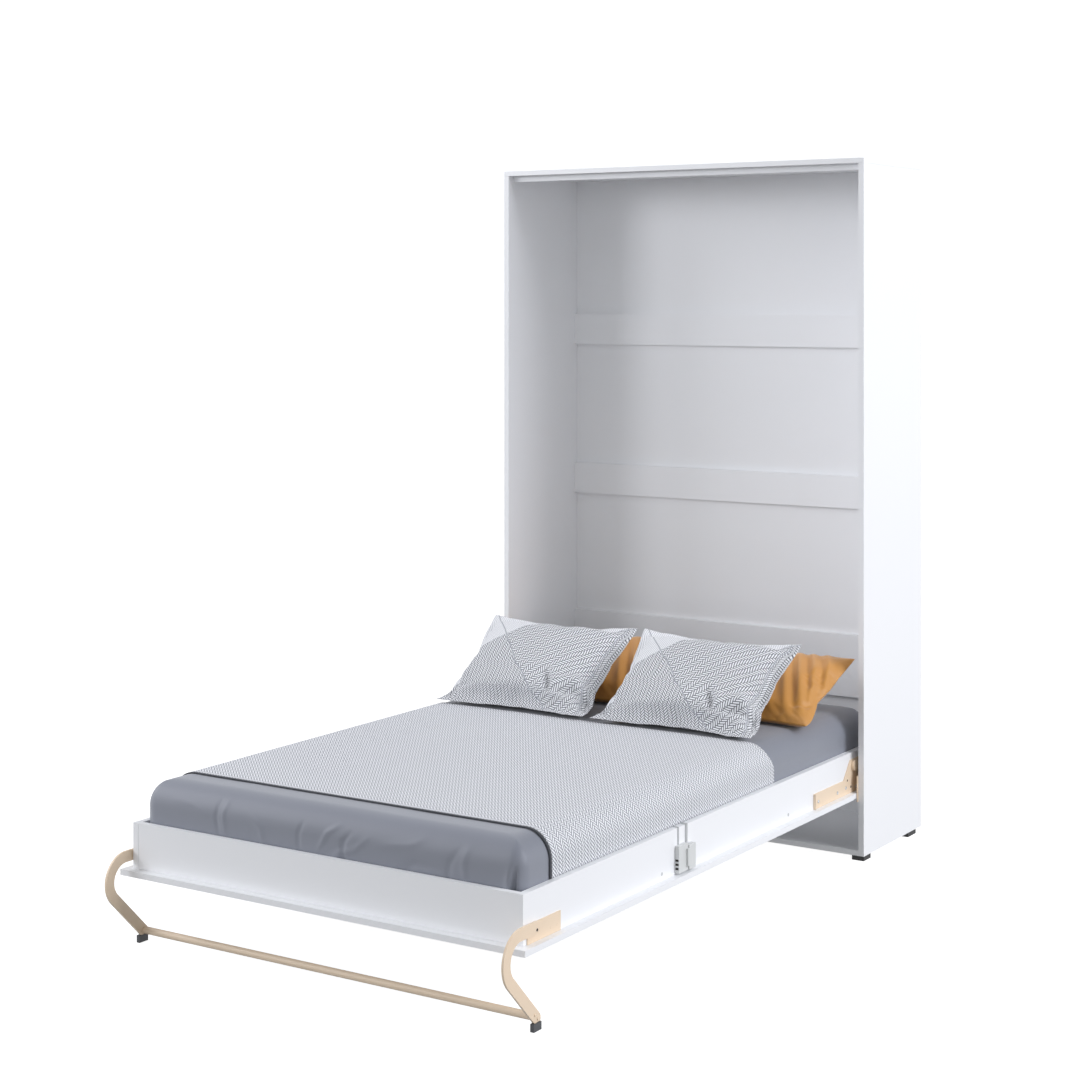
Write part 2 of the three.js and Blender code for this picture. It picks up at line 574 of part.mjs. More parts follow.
// A plump pillow: two crowned faces that meet in a thin rim. It leans back by `tilt`
// degrees, and whatever would dip below `rest` is pressed flat there.
function pillowGeometry([width, height, thickness], at, tilt, rest) {
  const geometry = new THREE.BoxGeometry(2, 2, 2, 14, 12, 1);
  const position = geometry.attributes.position;
  for (let i = 0; i < position.count; i += 1) {
    const u = position.getX(i);
    const v = position.getY(i);
    const crown = Math.sqrt(Math.max(0, (1 - u * u) * (1 - v * v)));
    const drawnIn = 1 - EAR_PULL * ((1 - u * u) * v * v + (1 - v * v) * u * u);
    const half = (PILLOW_RIM + (thickness - PILLOW_RIM) * crown) / 2;
    const depth = Math.sign(position.getZ(i)) * half;
    position.setXYZ(i, (u * width * drawnIn) / 2, (v * height * drawnIn) / 2, depth);
  }
  geometry.rotateX((tilt * Math.PI) / 180);
  geometry.translate(...at);
  for (let i = 0; i < position.count; i += 1) {
    position.setZ(i, Math.max(position.getZ(i), rest));
  }
  geometry.computeVertexNormals();
  return geometry;
}

function buildPillows() {
  const pairs = [
    ["pillow_mustard", MUSTARD_PILLOW, MATTRESS_TOP + GAP, MUSTARD],
    ["pillow_woven", WOVEN_PILLOW, SPREAD_TOP + GAP, SPREAD_GREY],
  ];
  for (const [name, pillow, rest, look] of pairs) {
    for (const [word] of SIDES) {
      const at = [pillow[word], pillow.y, MATTRESS_TOP + pillow.rise];
      const geometry = pillowGeometry(pillow.size, at, pillow.tilt, rest);
      add(bed, `${name}_${word}`, geometry, look);
    }
  }
}

// The strap that holds the mattress, and its buckle on the right rail.
function buildStrap() {
  const buckleX = [PLATE_X, PLATE_X + BUCKLE.thickness];
  const foot = FRAME_FOOT + BUCKLE.inset;
  const low = FRAME_BOTTOM + BUCKLE.rise;
  const buckleTop = low + BUCKLE.height;
  block(bed, "strap_buckle", buckleX, [foot, foot + BUCKLE.length], [low, buckleTop], ZINC);
  const shape = new THREE.Shape();
  const side = RAIL_OUTER + GAP;
  const top = FRAME_TOP + GAP;
  const { thickness } = STRAP;
  shape.moveTo(side, buckleTop + GAP);
  shape.lineTo(side + thickness, buckleTop + GAP);
  shape.lineTo(side + thickness, top + thickness);
  shape.lineTo(RAIL_OUTER - STRAP.reach, top + thickness);
  shape.lineTo(RAIL_OUTER - STRAP.reach, top);
  shape.lineTo(side, top);
  shape.closePath();
  const middle = foot + BUCKLE.length / 2;
  const strapY = [middle - STRAP.width / 2, middle + STRAP.width / 2];
  add(bed, "mattress_strap", barGeometry(shape, strapY), WEBBING);
}

buildCabinetBoards();
buildBackRails();
buildCabinetFeet();
buildBedPivots();
buildStrutAnchors();
buildBedFrame();
buildFrontPanel();
buildSlats();
buildBedBrackets();
buildStruts();
buildLegPlates();
buildLeg();
buildMattress();
buildBedspread();
buildPillows();
buildStrap();
root.position.y = -CENTRE_Y;

export default root;
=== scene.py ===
"""Looks and soft goods of a vertical fold-down wall bed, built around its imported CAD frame."""

import logging
import math
from dataclasses import dataclass, field
from enum import Enum
from typing import Callable, ClassVar, Iterable, Sequence

import bpy
import numpy as np
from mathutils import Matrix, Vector


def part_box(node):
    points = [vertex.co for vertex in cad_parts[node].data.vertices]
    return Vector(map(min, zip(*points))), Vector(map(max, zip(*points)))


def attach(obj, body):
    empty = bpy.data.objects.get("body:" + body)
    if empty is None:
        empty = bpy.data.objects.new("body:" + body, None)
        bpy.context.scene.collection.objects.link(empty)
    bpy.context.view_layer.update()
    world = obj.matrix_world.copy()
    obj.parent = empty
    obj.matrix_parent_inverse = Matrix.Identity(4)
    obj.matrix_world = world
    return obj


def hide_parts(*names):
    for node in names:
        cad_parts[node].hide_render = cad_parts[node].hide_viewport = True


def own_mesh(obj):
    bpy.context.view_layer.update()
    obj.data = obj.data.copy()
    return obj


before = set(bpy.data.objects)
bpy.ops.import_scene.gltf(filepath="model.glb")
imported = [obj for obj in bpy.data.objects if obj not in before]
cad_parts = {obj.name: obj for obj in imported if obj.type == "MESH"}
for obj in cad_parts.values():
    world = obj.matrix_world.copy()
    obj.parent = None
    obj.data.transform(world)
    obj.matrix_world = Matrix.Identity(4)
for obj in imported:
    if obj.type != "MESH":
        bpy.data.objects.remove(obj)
LOG = logging.getLogger("wall_bed")
MM = 0.001
SIDES = (("left", -1.0), ("right", 1.0))
# The cabinet's front plane, from which every depth below is counted.
FRONT_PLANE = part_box("side_panel_left")[0].y


# ---- Colour and node helpers ---------------------------------------------------------
def linear(code: str) -> tuple[float, float, float, float]:
    """Turn an sRGB hex colour into linear values.

    Args:
        code: Colour such as "#e6d3b8".

    Returns:
        Linear red, green and blue, with an alpha of one.
    """
    parts = [int(code[i : i + 2], 16) / 255 for i in (1, 3, 5)]
    out = [c / 12.92 if c <= 0.04045 else ((c + 0.055) / 1.055) ** 2.4 for c in parts]
    return (out[0], out[1], out[2], 1.0)


def add_node(
    tree: bpy.types.NodeTree, kind: str, inputs: dict | None = None, **settings: object
) -> bpy.types.Node:
    """Add a node, set its properties, and set or link its inputs.

    Args:
        tree: Tree the node goes into.
        kind: Node type, such as "ShaderNodeMath".
        inputs: Input name or index to a value or to the socket that feeds it.
        **settings: Node properties.

    Returns:
        The new node.
    """
    made = tree.nodes.new(kind)
    for key, value in settings.items():
        setattr(made, key, value)
    for key, value in (inputs or {}).items():
        if isinstance(value, bpy.types.NodeSocket):
            tree.links.new(value, made.inputs[key])
        else:
            made.inputs[key].default_value = value
    return made


class Sum:
    """Arithmetic on sockets of one node tree, so that patterns read like formulas."""

    def __init__(self, tree: bpy.types.NodeTree) -> None:
        """Keep the tree that the formulas go into."""
        self.tree = tree

    def __call__(self, operation: str, *terms: object) -> bpy.types.NodeSocket:
        """Add one Math node and return its result."""
        inputs = dict(enumerate(terms))
        return add_node(self.tree, "ShaderNodeMath", inputs, operation=operation).outputs[0]

    def step(self, value: object, low: float, high: float) -> bpy.types.NodeSocket:
        """Rise smoothly from 0 at low to 1 at high."""
        inputs = {"Value": value, "From Min": low, "From Max": high}
        made = add_node(self.tree, "ShaderNodeMapRange", inputs, interpolation_type="SMOOTHSTEP")
        return made.outputs[0]

    def mix(self, factor: object, first: object, second: object) -> bpy.types.NodeSocket:
        """Blend two colours."""
        inputs = {0: factor, 6: first, 7: second}
        return add_node(self.tree, "ShaderNodeMix", inputs, data_type="RGBA").outputs[2]


# ---- Finishes ------------------------------------------------------------------------
@dataclass(frozen=True)
class Finish:
    """A surface finish, whose fields start from what the real material is.

    Attributes:
        name: Plain name of the material and how its surface was made.
        colour: sRGB hex.
        roughness: Microfacet roughness.
        metallic: One for bare metal.
        ior: Refractive index of the coat or body, left alone for metal.
        grain: Size of the surface's texture, in millimetres.
        relief: Height of that texture, in millimetres.
        variation: How far the colour drifts over the surface.
        sheen: Fibre sheen on cloth.
    """

    name: str
    colour: str
    roughness: float = 0.5
    metallic: float = 0.0
    ior: float = 1.5
    grain: float = 1.0
    relief: float = 0.01
    variation: float = 0.02
    sheen: float = 0.0

    made: ClassVar[dict] = {}

    def material(self) -> bpy.types.Material:
        """Return the material, building it the first time."""
        if self.name not in Finish.made:
            Finish.made[self.name] = self.build()
        return Finish.made[self.name]

    def build(self) -> bpy.types.Material:
        """Set the shader's plain values, then let the finish draw its surface.

        Returns:
            The finished material.
        """
        made = bpy.data.materials.new(self.name)
        made.use_nodes = True
        tree = made.node_tree
        shader = tree.nodes["Principled BSDF"]
        shader.inputs["Roughness"].default_value = self.roughness
        shader.inputs["Metallic"].default_value = self.metallic
        if self.metallic < 0.5:
            shader.inputs["IOR"].default_value = self.ior
        shader.inputs["Sheen Weight"].default_value = self.sheen
        shader.inputs["Base Color"].default_value = linear(self.colour)
        self.draw(tree, shader)
        return made

    def draw(self, tree: bpy.types.NodeTree, shader: bpy.types.Node) -> None:
        """Draw an even, finely textured surface, as moulding and coating leave.

        Args:
            tree: The material's node tree.
            shader: Its principled shader.
        """
        place = add_node(tree, "ShaderNodeTexCoord").outputs["Object"]
        self.speckle(tree, shader, place)

    def speckle(
        self, tree: bpy.types.NodeTree, shader: bpy.types.Node, place: bpy.types.NodeSocket
    ) -> None:
        """Texture the surface at the grain's size and let its colour drift slowly.

        Args:
            tree: The material's node tree.
            shader: Its principled shader.
            place: Coordinates of the surface, in metres.
        """
        scale = 1.0 / (self.grain * MM)
        fine = add_node(tree, "ShaderNodeTexNoise", {"Vector": place, "Scale": scale, "Detail": 3.0})
        slow = add_node(tree, "ShaderNodeTexNoise", {"Vector": place, "Scale": 2.2, "Detail": 2.0})
        maths = Sum(tree)
        drift = maths.step(slow.outputs["Fac"], 0.3, 0.7)
        full = linear(self.colour)
        less = tuple(c * (1 - self.variation * 2) for c in full[:3]) + (1.0,)
        tree.links.new(maths.mix(drift, less, full), shader.inputs["Base Color"])
        patch = maths("MULTIPLY_ADD", slow.outputs["Fac"], 0.08, self.roughness - 0.04)
        tree.links.new(patch, shader.inputs["Roughness"])
        bump = {"Height": fine.outputs["Fac"], "Distance": self.relief * MM, "Strength": 1.0}
        tree.links.new(add_node(tree, "ShaderNodeBump", bump).outputs[0], shader.inputs["Normal"])


class SawnWood(Finish):
    """Bare timber, whose grain lies along the piece."""

    def draw(self, tree: bpy.types.NodeTree, shader: bpy.types.Node) -> None:
        """Draw growth rings stretched along x into straight grain.

        Args:
            tree: The material's node tree.
            shader: Its principled shader.
        """
        maths = Sum(tree)
        place = add_node(tree, "ShaderNodeTexCoord").outputs["Object"]
        drawn = add_node(tree, "ShaderNodeMapping", {"Vector": place, "Scale": (1.5, 40.0, 40.0)})
        rings = {"Vector": drawn.outputs[0], "Scale": 3.0, "Detail": 6.0, "Distortion": 1.2}
        grain = add_node(tree, "ShaderNodeTexNoise", rings).outputs["Fac"]
        light = linear(self.colour)
        dark = tuple(c * 0.62 for c in light[:3]) + (1.0,)
        tone = maths.mix(maths.step(grain, 0.35, 0.7), light, dark)
        tree.links.new(tone, shader.inputs["Base Color"])
        bump = {"Height": grain, "Distance": self.relief * MM, "Strength": 0.6}
        tree.links.new(add_node(tree, "ShaderNodeBump", bump).outputs[0], shader.inputs["Normal"])


class PlainWeave(Finish):
    """Cloth in plain weave, such as percale sheeting or webbing."""

    def draw(self, tree: bpy.types.NodeTree, shader: bpy.types.Node) -> None:
        """Draw crossing threads at the grain's pitch over a slow change of tone.

        Args:
            tree: The material's node tree.
            shader: Its principled shader.
        """
        maths = Sum(tree)
        flat = add_node(tree, "ShaderNodeUVMap").outputs[0]
        part = add_node(tree, "ShaderNodeSeparateXYZ", {0: flat})
        turn = 2 * math.pi / (self.grain * MM)
        warp = maths("SINE", maths("MULTIPLY", part.outputs[0], turn))
        weft = maths("SINE", maths("MULTIPLY", part.outputs[1], turn))
        height = maths("MULTIPLY", warp, weft)
        slow = add_node(tree, "ShaderNodeTexNoise", {"Vector": flat, "Scale": 5.0, "Detail": 4.0})
        full = linear(self.colour)
        less = tuple(c * (1 - self.variation * 3) for c in full[:3]) + (1.0,)
        tone = maths.mix(slow.outputs["Fac"], less, full)
        tree.links.new(tone, shader.inputs["Base Color"])
        bump = {"Height": height, "Distance": self.relief * MM, "Strength": 0.5}
        tree.links.new(add_node(tree, "ShaderNodeBump", bump).outputs[0], shader.inputs["Normal"])


@dataclass(frozen=True)
class BlockWeave(Finish):
    """Jacquard cloth woven in blocks, pale bars with dark yarn between them.

    Attributes:
        gap_colour: sRGB hex of the yarn between the bars.
        bar: Width of a bar, in millimetres; each is three times as long.
        patched: Whether curved seams divide the cloth into patches of other weaves.
    """

    gap_colour: str = "#85888f"
    bar: float = 7.5
    patched: bool = False

    def bars(
        self, maths: Sum, across: object, along: object, turn: float, width: float
    ) -> bpy.types.NodeSocket:
        """Draw interlocked bars, three cells long, alternately lying and standing.

        Args:
            maths: Formula writer of the tree.
            across: Metres across the cloth.
            along: Metres along the cloth.
            turn: Angle of the bars, in degrees.
            width: Width of a bar, in millimetres.

        Returns:
            One on a bar, falling to zero in the yarn between bars.
        """
        c, s = math.cos(math.radians(turn)), math.sin(math.radians(turn))
        pitch = 1 / (width * MM)
        x = maths("ADD", maths("MULTIPLY", across, c * pitch), maths("MULTIPLY", along, -s * pitch))
        y = maths("ADD", maths("MULTIPLY", across, s * pitch), maths("MULTIPLY", along, c * pitch))
        x, y = maths("ADD", x, 4000.0), maths("ADD", y, 1000.0)
        fx, fy = maths("FRACT", x), maths("FRACT", y)
        cell = maths("FLOORED_MODULO", maths("SUBTRACT", maths("FLOOR", x), maths("FLOOR", y)), 6.0)
        lying = maths("LESS_THAN", cell, 2.5)
        back_x, back_y = maths("SUBTRACT", 1.0, fx), maths("SUBTRACT", 1.0, fy)
        standing = maths("SUBTRACT", 1.0, lying)
        nearest = maths("ADD", maths("MINIMUM", fy, back_y), maths("MULTIPLY", standing, 9.0))
        upright = maths("ADD", maths("MINIMUM", fx, back_x), maths("MULTIPLY", lying, 9.0))
        nearest = maths("MINIMUM", nearest, upright)
        for end, wanted in ((fx, 0.0), (back_x, 2.0), (fy, 5.0), (back_y, 3.0)):
            here = maths("COMPARE", cell, wanted, 0.5)
            away = maths("MULTIPLY", maths("SUBTRACT", 1.0, here), 9.0)
            nearest = maths("MINIMUM", nearest, maths("ADD", end, away))
        return maths.step(nearest, 0.1, 0.27)

    def ribs(self, maths: Sum, across: object, along: object) -> bpy.types.NodeSocket:
        """Draw fine pale ribs with broken dark yarn between them.

        Args:
            maths: Formula writer of the tree.
            across: Metres across the cloth.
            along: Metres along the cloth.

        Returns:
            One on a rib, falling to zero in the yarn between ribs.
        """
        pitch = self.bar * MM * 0.5
        wave = maths("DIVIDE", maths("PINGPONG", across, pitch), pitch)
        cross = maths("DIVIDE", maths("PINGPONG", along, pitch * 0.6), pitch * 0.6)
        return maths.step(maths("MULTIPLY_ADD", cross, 0.35, wave), 0.05, 0.55)

    def draw(self, tree: bpy.types.NodeTree, shader: bpy.types.Node) -> None:
        """Colour and raise the bars, with patches and their seams where there are any.

        Args:
            tree: The material's node tree.
            shader: Its principled shader.
        """
        maths = Sum(tree)
        flat = add_node(tree, "ShaderNodeUVMap").outputs[0]
        part = add_node(tree, "ShaderNodeSeparateXYZ", {0: flat})
        across, along = part.outputs[0], part.outputs[1]
        if self.patched:
            yarn, seam = self.patches(maths, across, along)
        else:
            yarn, seam = self.bars(maths, across, along, 45.0, self.bar), 1.0
        slow = add_node(tree, "ShaderNodeTexNoise", {"Vector": flat, "Scale": 6.0, "Detail": 3.0})
        pale = linear(self.colour)
        less = tuple(c * (1 - self.variation) for c in pale[:3]) + (1.0,)
        tone = maths.mix(slow.outputs["Fac"], less, pale)
        tone = maths.mix(yarn, linear(self.gap_colour), tone)
        if self.patched:
            tone = maths.mix(seam, linear("#a3a6ad"), tone)
        tree.links.new(tone, shader.inputs["Base Color"])
        fuzz = add_node(tree, "ShaderNodeTexNoise", {"Vector": flat, "Scale": 900.0, "Detail": 2.0})
        height = maths("MULTIPLY_ADD", fuzz.outputs["Fac"], 0.25, yarn)
        height = maths("MULTIPLY", height, seam)
        bump = {"Height": height, "Distance": self.relief * MM, "Strength": 0.7}
        tree.links.new(add_node(tree, "ShaderNodeBump", bump).outputs[0], shader.inputs["Normal"])

    def patches(
        self, maths: Sum, across: object, along: object
    ) -> tuple[bpy.types.NodeSocket, bpy.types.NodeSocket]:
        """Divide a pillow's face by two bowed seams into bars, zigzags and ribs.

        Args:
            maths: Formula writer of the tree.
            across: Metres across the pillow, from its left seam.
            along: Metres up the pillow, from its lower seam.

        Returns:
            The yarn pattern, and a mask that is zero on the seams.
        """
        u = maths("DIVIDE", across, WovenPillow.WIDTH * MM)
        v = maths("DIVIDE", along, WovenPillow.HEIGHT * MM)
        rest = maths("POWER", maths("MAXIMUM", maths("SUBTRACT", 1.0, u), 0.0), 2.6)
        over = maths("SUBTRACT", v, maths("MULTIPLY_ADD", rest, -0.75, 1.0))
        down = maths("SUBTRACT", 1.0, v)
        lean = maths("MULTIPLY", down, maths("MULTIPLY_ADD", down, -0.05, 0.72))
        right = maths("SUBTRACT", u, maths("ADD", lean, 0.03))
        above = maths("GREATER_THAN", over, 0.0)
        flange = maths("LESS_THAN", u, 0.945)
        beyond = maths("MULTIPLY", maths("GREATER_THAN", right, 0.0), flange)
        bars = self.bars(maths, across, along, 0.0, self.bar)
        zigzag = self.bars(maths, across, along, -45.0, self.bar * 0.85)
        ribs = self.ribs(maths, across, along)
        lower = maths.mix(beyond, zigzag, bars)
        yarn = maths.mix(above, lower, ribs)
        nearest = maths("MINIMUM", maths("ABSOLUTE", over), maths("ABSOLUTE", right))
        edge = maths("ABSOLUTE", maths("SUBTRACT", u, 0.945))
        nearest = maths("MINIMUM", nearest, edge)
        return yarn, maths.step(nearest, 0.001, 0.007)


# Melamine-faced chipboard: pressed resin paper, satin, with a faint pressed texture.
WHITE_BOARD = Finish(
    "White melamine board, pressed",
    colour="#f3f4f6", roughness=0.38, grain=0.9, relief=0.006, variation=0.004,
)
# Polyester powder coat on steel: baked to a soft orange-peel satin.
POWDER_COAT = Finish(
    "Beige powder coat on steel, baked",
    colour="#ecd6bb", roughness=0.42, grain=1.6, relief=0.02, variation=0.01,
)
# Zinc plate: bright but slightly cloudy, as passivation leaves it.
ZINC = Finish(
    "Zinc plated steel, passivated",
    colour="#c9cbcd", roughness=0.3, metallic=1.0, grain=2.0, relief=0.01, variation=0.04,
)
# Hard chrome on a ground rod: a nearly clear mirror.
CHROME = Finish(
    "Hard chromed rod, ground",
    colour="#d8dadc", roughness=0.1, metallic=1.0, grain=4.0, relief=0.002, variation=0.01,
)
# Enamel on the strut's drawn tube: smooth and glossy black.
ENAMEL = Finish(
    "Black enamel on drawn steel",
    colour="#1b1c1e", roughness=0.22, grain=3.0, relief=0.004, variation=0.02,
)
# Injection-moulded polypropylene: spark-eroded mould texture, low gloss.
FOOT_PLASTIC = Finish(
    "Black polypropylene, moulded",
    colour="#17181a", roughness=0.55, ior=1.49, grain=0.8, relief=0.03, variation=0.04,
)
# Moulded polyamide: a little greyer and harder, with the same fine mould texture.
PAD_PLASTIC = Finish(
    "Charcoal polyamide, moulded",
    colour="#3a3c40", roughness=0.5, ior=1.53, grain=0.8, relief=0.03, variation=0.04,
)
# Moulded acetal: pale and waxy, smooth enough for soft highlights on its edges.
BUCKLE_PLASTIC = Finish(
    "Grey acetal, moulded",
    colour="#d5d7d6", roughness=0.32, ior=1.48, grain=1.5, relief=0.01, variation=0.02,
)
# Painted shade: a dark matt finish on thin discs and slabs laid where holes and slots are, standing in for
# the shade inside them.
PAINTED_HOLE_SHADE = Finish(
    "Painted hole shade",
    colour="#2a2623", roughness=0.8, relief=0.01, variation=0.05,
)
# Laminated birch: pale, close straight grain, unvarnished.
BIRCH = SawnWood(
    "Birch ply, sanded",
    colour="#dcc297", roughness=0.6, relief=0.08, variation=0.05,
)
# Cotton percale: threads far finer than can show, so drawn at 1.2 mm to give a soft face.
SHEET_COTTON = PlainWeave(
    "Grey cotton percale, woven",
    colour="#7f838e", roughness=0.52, ior=1.55, grain=1.2, relief=0.03, variation=0.015,
    sheen=0.35,
)
# Cotton sateen: floats of fine thread, so it sheens at a slant; threads drawn at 1 mm.
SATEEN = PlainWeave(
    "Mustard cotton sateen, woven",
    colour="#d09240", roughness=0.5, relief=0.03, variation=0.03, sheen=0.35,
)
# Polyester webbing: a thick, coarse weave with a dull face.
WEBBING = PlainWeave(
    "Grey polyester webbing, woven",
    colour="#b9bbbd", roughness=0.7, grain=2.2, relief=0.2, variation=0.02, sheen=0.1,
)
# Cotton bias binding folded over the spread's edge, coloured charcoal and matt as painted shadow: the dark
# strip stands for the shade under the hem.
HEM_PAINTED_SHADOW = PlainWeave(
    "Hem binding, dark as painted shadow",
    colour="#3c3e44", roughness=0.85, grain=1.2, relief=0.05, variation=0.02, sheen=0.1,
)
# Jacquard cotton: raised pale bars that catch light, dark yarn sunk between them.
SPREAD_CLOTH = BlockWeave(
    "Grey jacquard cotton, woven",
    colour="#f0f1f4", roughness=0.9, relief=0.5, variation=0.03, sheen=0.1, gap_colour="#8b8e96",
    bar=7.0,
)
# The same jacquard on a darker yarn, in patches: the seams between them are sunk.
PILLOW_CLOTH = BlockWeave(
    "Patchwork jacquard cotton, woven",
    colour="#f0f1f4", roughness=0.9, relief=0.5, variation=0.03, sheen=0.1, gap_colour="#5b5e65",
    bar=7.4, patched=True,
)


# ---- Mesh helpers --------------------------------------------------------------------
def mesh_object(
    name: str, points: np.ndarray, faces: Sequence, finish: Finish, flat: np.ndarray | None = None
) -> bpy.types.Object:
    """Make a smooth-shaded mesh object in the row frame.

    Args:
        name: Piece name.
        points: Vertex positions, in metres.
        faces: Vertex indices of each face.
        finish: Its finish.
        flat: Cloth coordinates of each vertex, in metres, if it has any.

    Returns:
        The object, linked to the scene.
    """
    data = bpy.data.meshes.new(name)
    data.from_pydata([tuple(p) for p in points], [], [tuple(int(i) for i in f) for f in faces])
    data.update()
    if flat is not None:
        layer = data.uv_layers.new(name="cloth")
        corner = np.zeros(len(data.loops), np.int32)
        data.loops.foreach_get("vertex_index", corner)
        layer.data.foreach_set("uv", flat[corner].astype(np.float32).ravel())
    data.polygons.foreach_set("use_smooth", [True] * len(data.polygons))
    data.materials.append(finish.material())
    made = bpy.data.objects.new(name, data)
    bpy.context.scene.collection.objects.link(made)
    return made


def grid_faces(rows: int, columns: int) -> list[tuple[int, int, int, int]]:
    """List the quads of a rectangular grid of vertices, stored row by row."""
    out = []
    for r in range(rows - 1):
        for c in range(columns - 1):
            a = r * columns + c
            out.append((a, a + 1, a + columns + 1, a + columns))
    return out


def lathe(
    name: str,
    profile: Sequence[tuple[float, float]],
    centre: Sequence[float],
    side: float,
    finish: Finish,
    turns: int = 28,
) -> bpy.types.Object:
    """Turn a profile about an axis along x, facing outwards on one side of the bed.

    Args:
        name: Piece name.
        profile: (radius, height) pairs in millimetres, from the axis to the axis.
        centre: Point on the axis at height zero, in metres.
        side: One for the right side, minus one for the left.
        finish: Its finish.
        turns: Facets round the axis.

    Returns:
        The turned piece.
    """
    points, faces = [], []
    angles = np.linspace(0, 2 * math.pi, turns, endpoint=False)
    for radius, height in profile:
        for a in angles:
            x = centre[0] + side * height * MM
            points.append((x, centre[1] + radius * MM * math.cos(a), centre[2] + radius * MM * math.sin(a)))
    for r in range(len(profile) - 1):
        for k in range(turns):
            n = (k + 1) % turns
            quad = (r * turns + k, r * turns + n, (r + 1) * turns + n, (r + 1) * turns + k)
            faces.append(quad[::-1] if side > 0 else quad)
    made = mesh_object(name, np.array(points), faces, finish)
    weld = made.modifiers.new("weld", "WELD")
    weld.merge_threshold = 1e-6
    return made


def soften_edges(piece: bpy.types.Object, width: float, segments: int = 3) -> None:
    """Round a hard piece's edges without touching its mesh.

    Args:
        piece: The piece.
        width: Width of the rounding, in millimetres.
        segments: Facets across it.
    """
    bevel = piece.modifiers.new("edge", "BEVEL")
    bevel.width = width * MM
    bevel.segments = segments
    bevel.limit_method = "ANGLE"
    bevel.angle_limit = math.radians(38)
    bevel.use_clamp_overlap = True
    bevel.harden_normals = True


def dress(nodes: Iterable[str], finish: Finish, edge: float = 0.0, segments: int = 3) -> None:
    """Give CAD nodes a finish, and rounded edges where an edge width is given.

    Args:
        nodes: Names of the nodes.
        finish: Their finish.
        edge: Width of the rounding, in millimetres, or zero for none.
        segments: Facets across the rounding.
    """
    for name in nodes:
        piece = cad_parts[name]
        piece.data.materials.clear()
        piece.data.materials.append(finish.material())
        if edge:
            soften_edges(piece, edge, segments)


def both(*stems: str) -> list[str]:
    """Name the left and right node of each stem."""
    return [f"{stem}_{word}" for stem in stems for word, _ in SIDES]


def depth(value: float) -> float:
    """Place a depth measured from the cabinet's front plane, in millimetres."""
    return FRONT_PLANE + value * MM


def ripple(points: np.ndarray, seed: int, size: float) -> np.ndarray:
    """Give smooth, repeatable unevenness between minus one and one.

    Args:
        points: Places to evaluate, two or three columns, in metres.
        seed: Picks the pattern.
        size: Rough distance between crests, in metres.

    Returns:
        One value for each place.
    """
    source = np.random.default_rng(seed)
    total = np.zeros(len(points))
    waves = 7
    for _ in range(waves):
        heading = source.normal(size=points.shape[1])
        heading /= np.linalg.norm(heading)
        pitch = size * source.uniform(0.6, 1.7)
        total += np.sin(points @ heading * 2 * math.pi / pitch + source.uniform(0, 7))
    return total / waves


def fold_line(places: np.ndarray, path: Sequence[tuple[float, float]], width: float) -> np.ndarray:
    """Height of a narrow ridge that follows a path over a cloth.

    Args:
        places: (n, 2) positions on the cloth.
        path: Points of the path, in the same units.
        width: Half width of the ridge.

    Returns:
        A value for each place, one on the path and falling off to zero.
    """
    nearest = np.full(len(places), 1e9)
    share = np.zeros(len(places))
    for k, (a, b) in enumerate(zip(path[:-1], path[1:])):
        a, b = np.array(a, float), np.array(b, float)
        along = np.clip((places - a) @ (b - a) / ((b - a) @ (b - a)), 0, 1)
        gap = np.linalg.norm(places - a - along[:, None] * (b - a), axis=1)
        better = gap < nearest
        nearest = np.where(better, gap, nearest)
        share = np.where(better, (k + along) / (len(path) - 1), share)
    return np.exp(-((nearest / width) ** 2)) * np.sin(math.pi * (0.08 + 0.84 * share))


# ---- Cabinet -------------------------------------------------------------------------
@dataclass
class Cabinet:
    """The open-fronted carcass on its feet, with the pivot plates inside it.

    Attributes:
        edge: Rounding of the boards' edge strips, in millimetres.
        foot_edge: Rounding of the moulded feet, in millimetres.
        plate_edge: Rounding of the steel plates, in millimetres.
        pin_edge: Rounding of the turned pins, in millimetres.
        boards: Names of the boards that have no left and right.
    """

    edge: float = 0.7
    foot_edge: float = 1.2
    plate_edge: float = 0.5
    pin_edge: float = 0.6
    boards: tuple[str, ...] = (
        "top_panel",
        "bottom_panel",
        "back_panel",
        "top_stop_rail",
        "lower_back_rail",
        "middle_back_rail",
        "upper_back_rail",
    )

    def build(self) -> None:
        """Dress the boards, feet and fittings."""
        dress(self.boards, WHITE_BOARD, self.edge)
        dress(both("side_panel"), WHITE_BOARD, self.edge)
        dress(both("front_foot", "rear_foot"), FOOT_PLASTIC, self.foot_edge)
        dress(both("pivot_plate", "strut_anchor"), POWDER_COAT, self.plate_edge)
        dress(both("pivot_pin"), ZINC, self.pin_edge)


@dataclass
class GasStruts:
    """The two gas struts that carry the bed's weight as it swings.

    Attributes:
        tube_edge: Rounding of the cylinders' ends, in millimetres.
        rod_edge: Rounding of the rods' ends, in millimetres.
    """

    tube_edge: float = 0.4
    rod_edge: float = 0.3

    def build(self) -> None:
        """Dress the cylinders and their rods."""
        dress(both("strut_cylinder"), ENAMEL, self.tube_edge)
        dress(both("strut_rod"), CHROME, self.rod_edge)


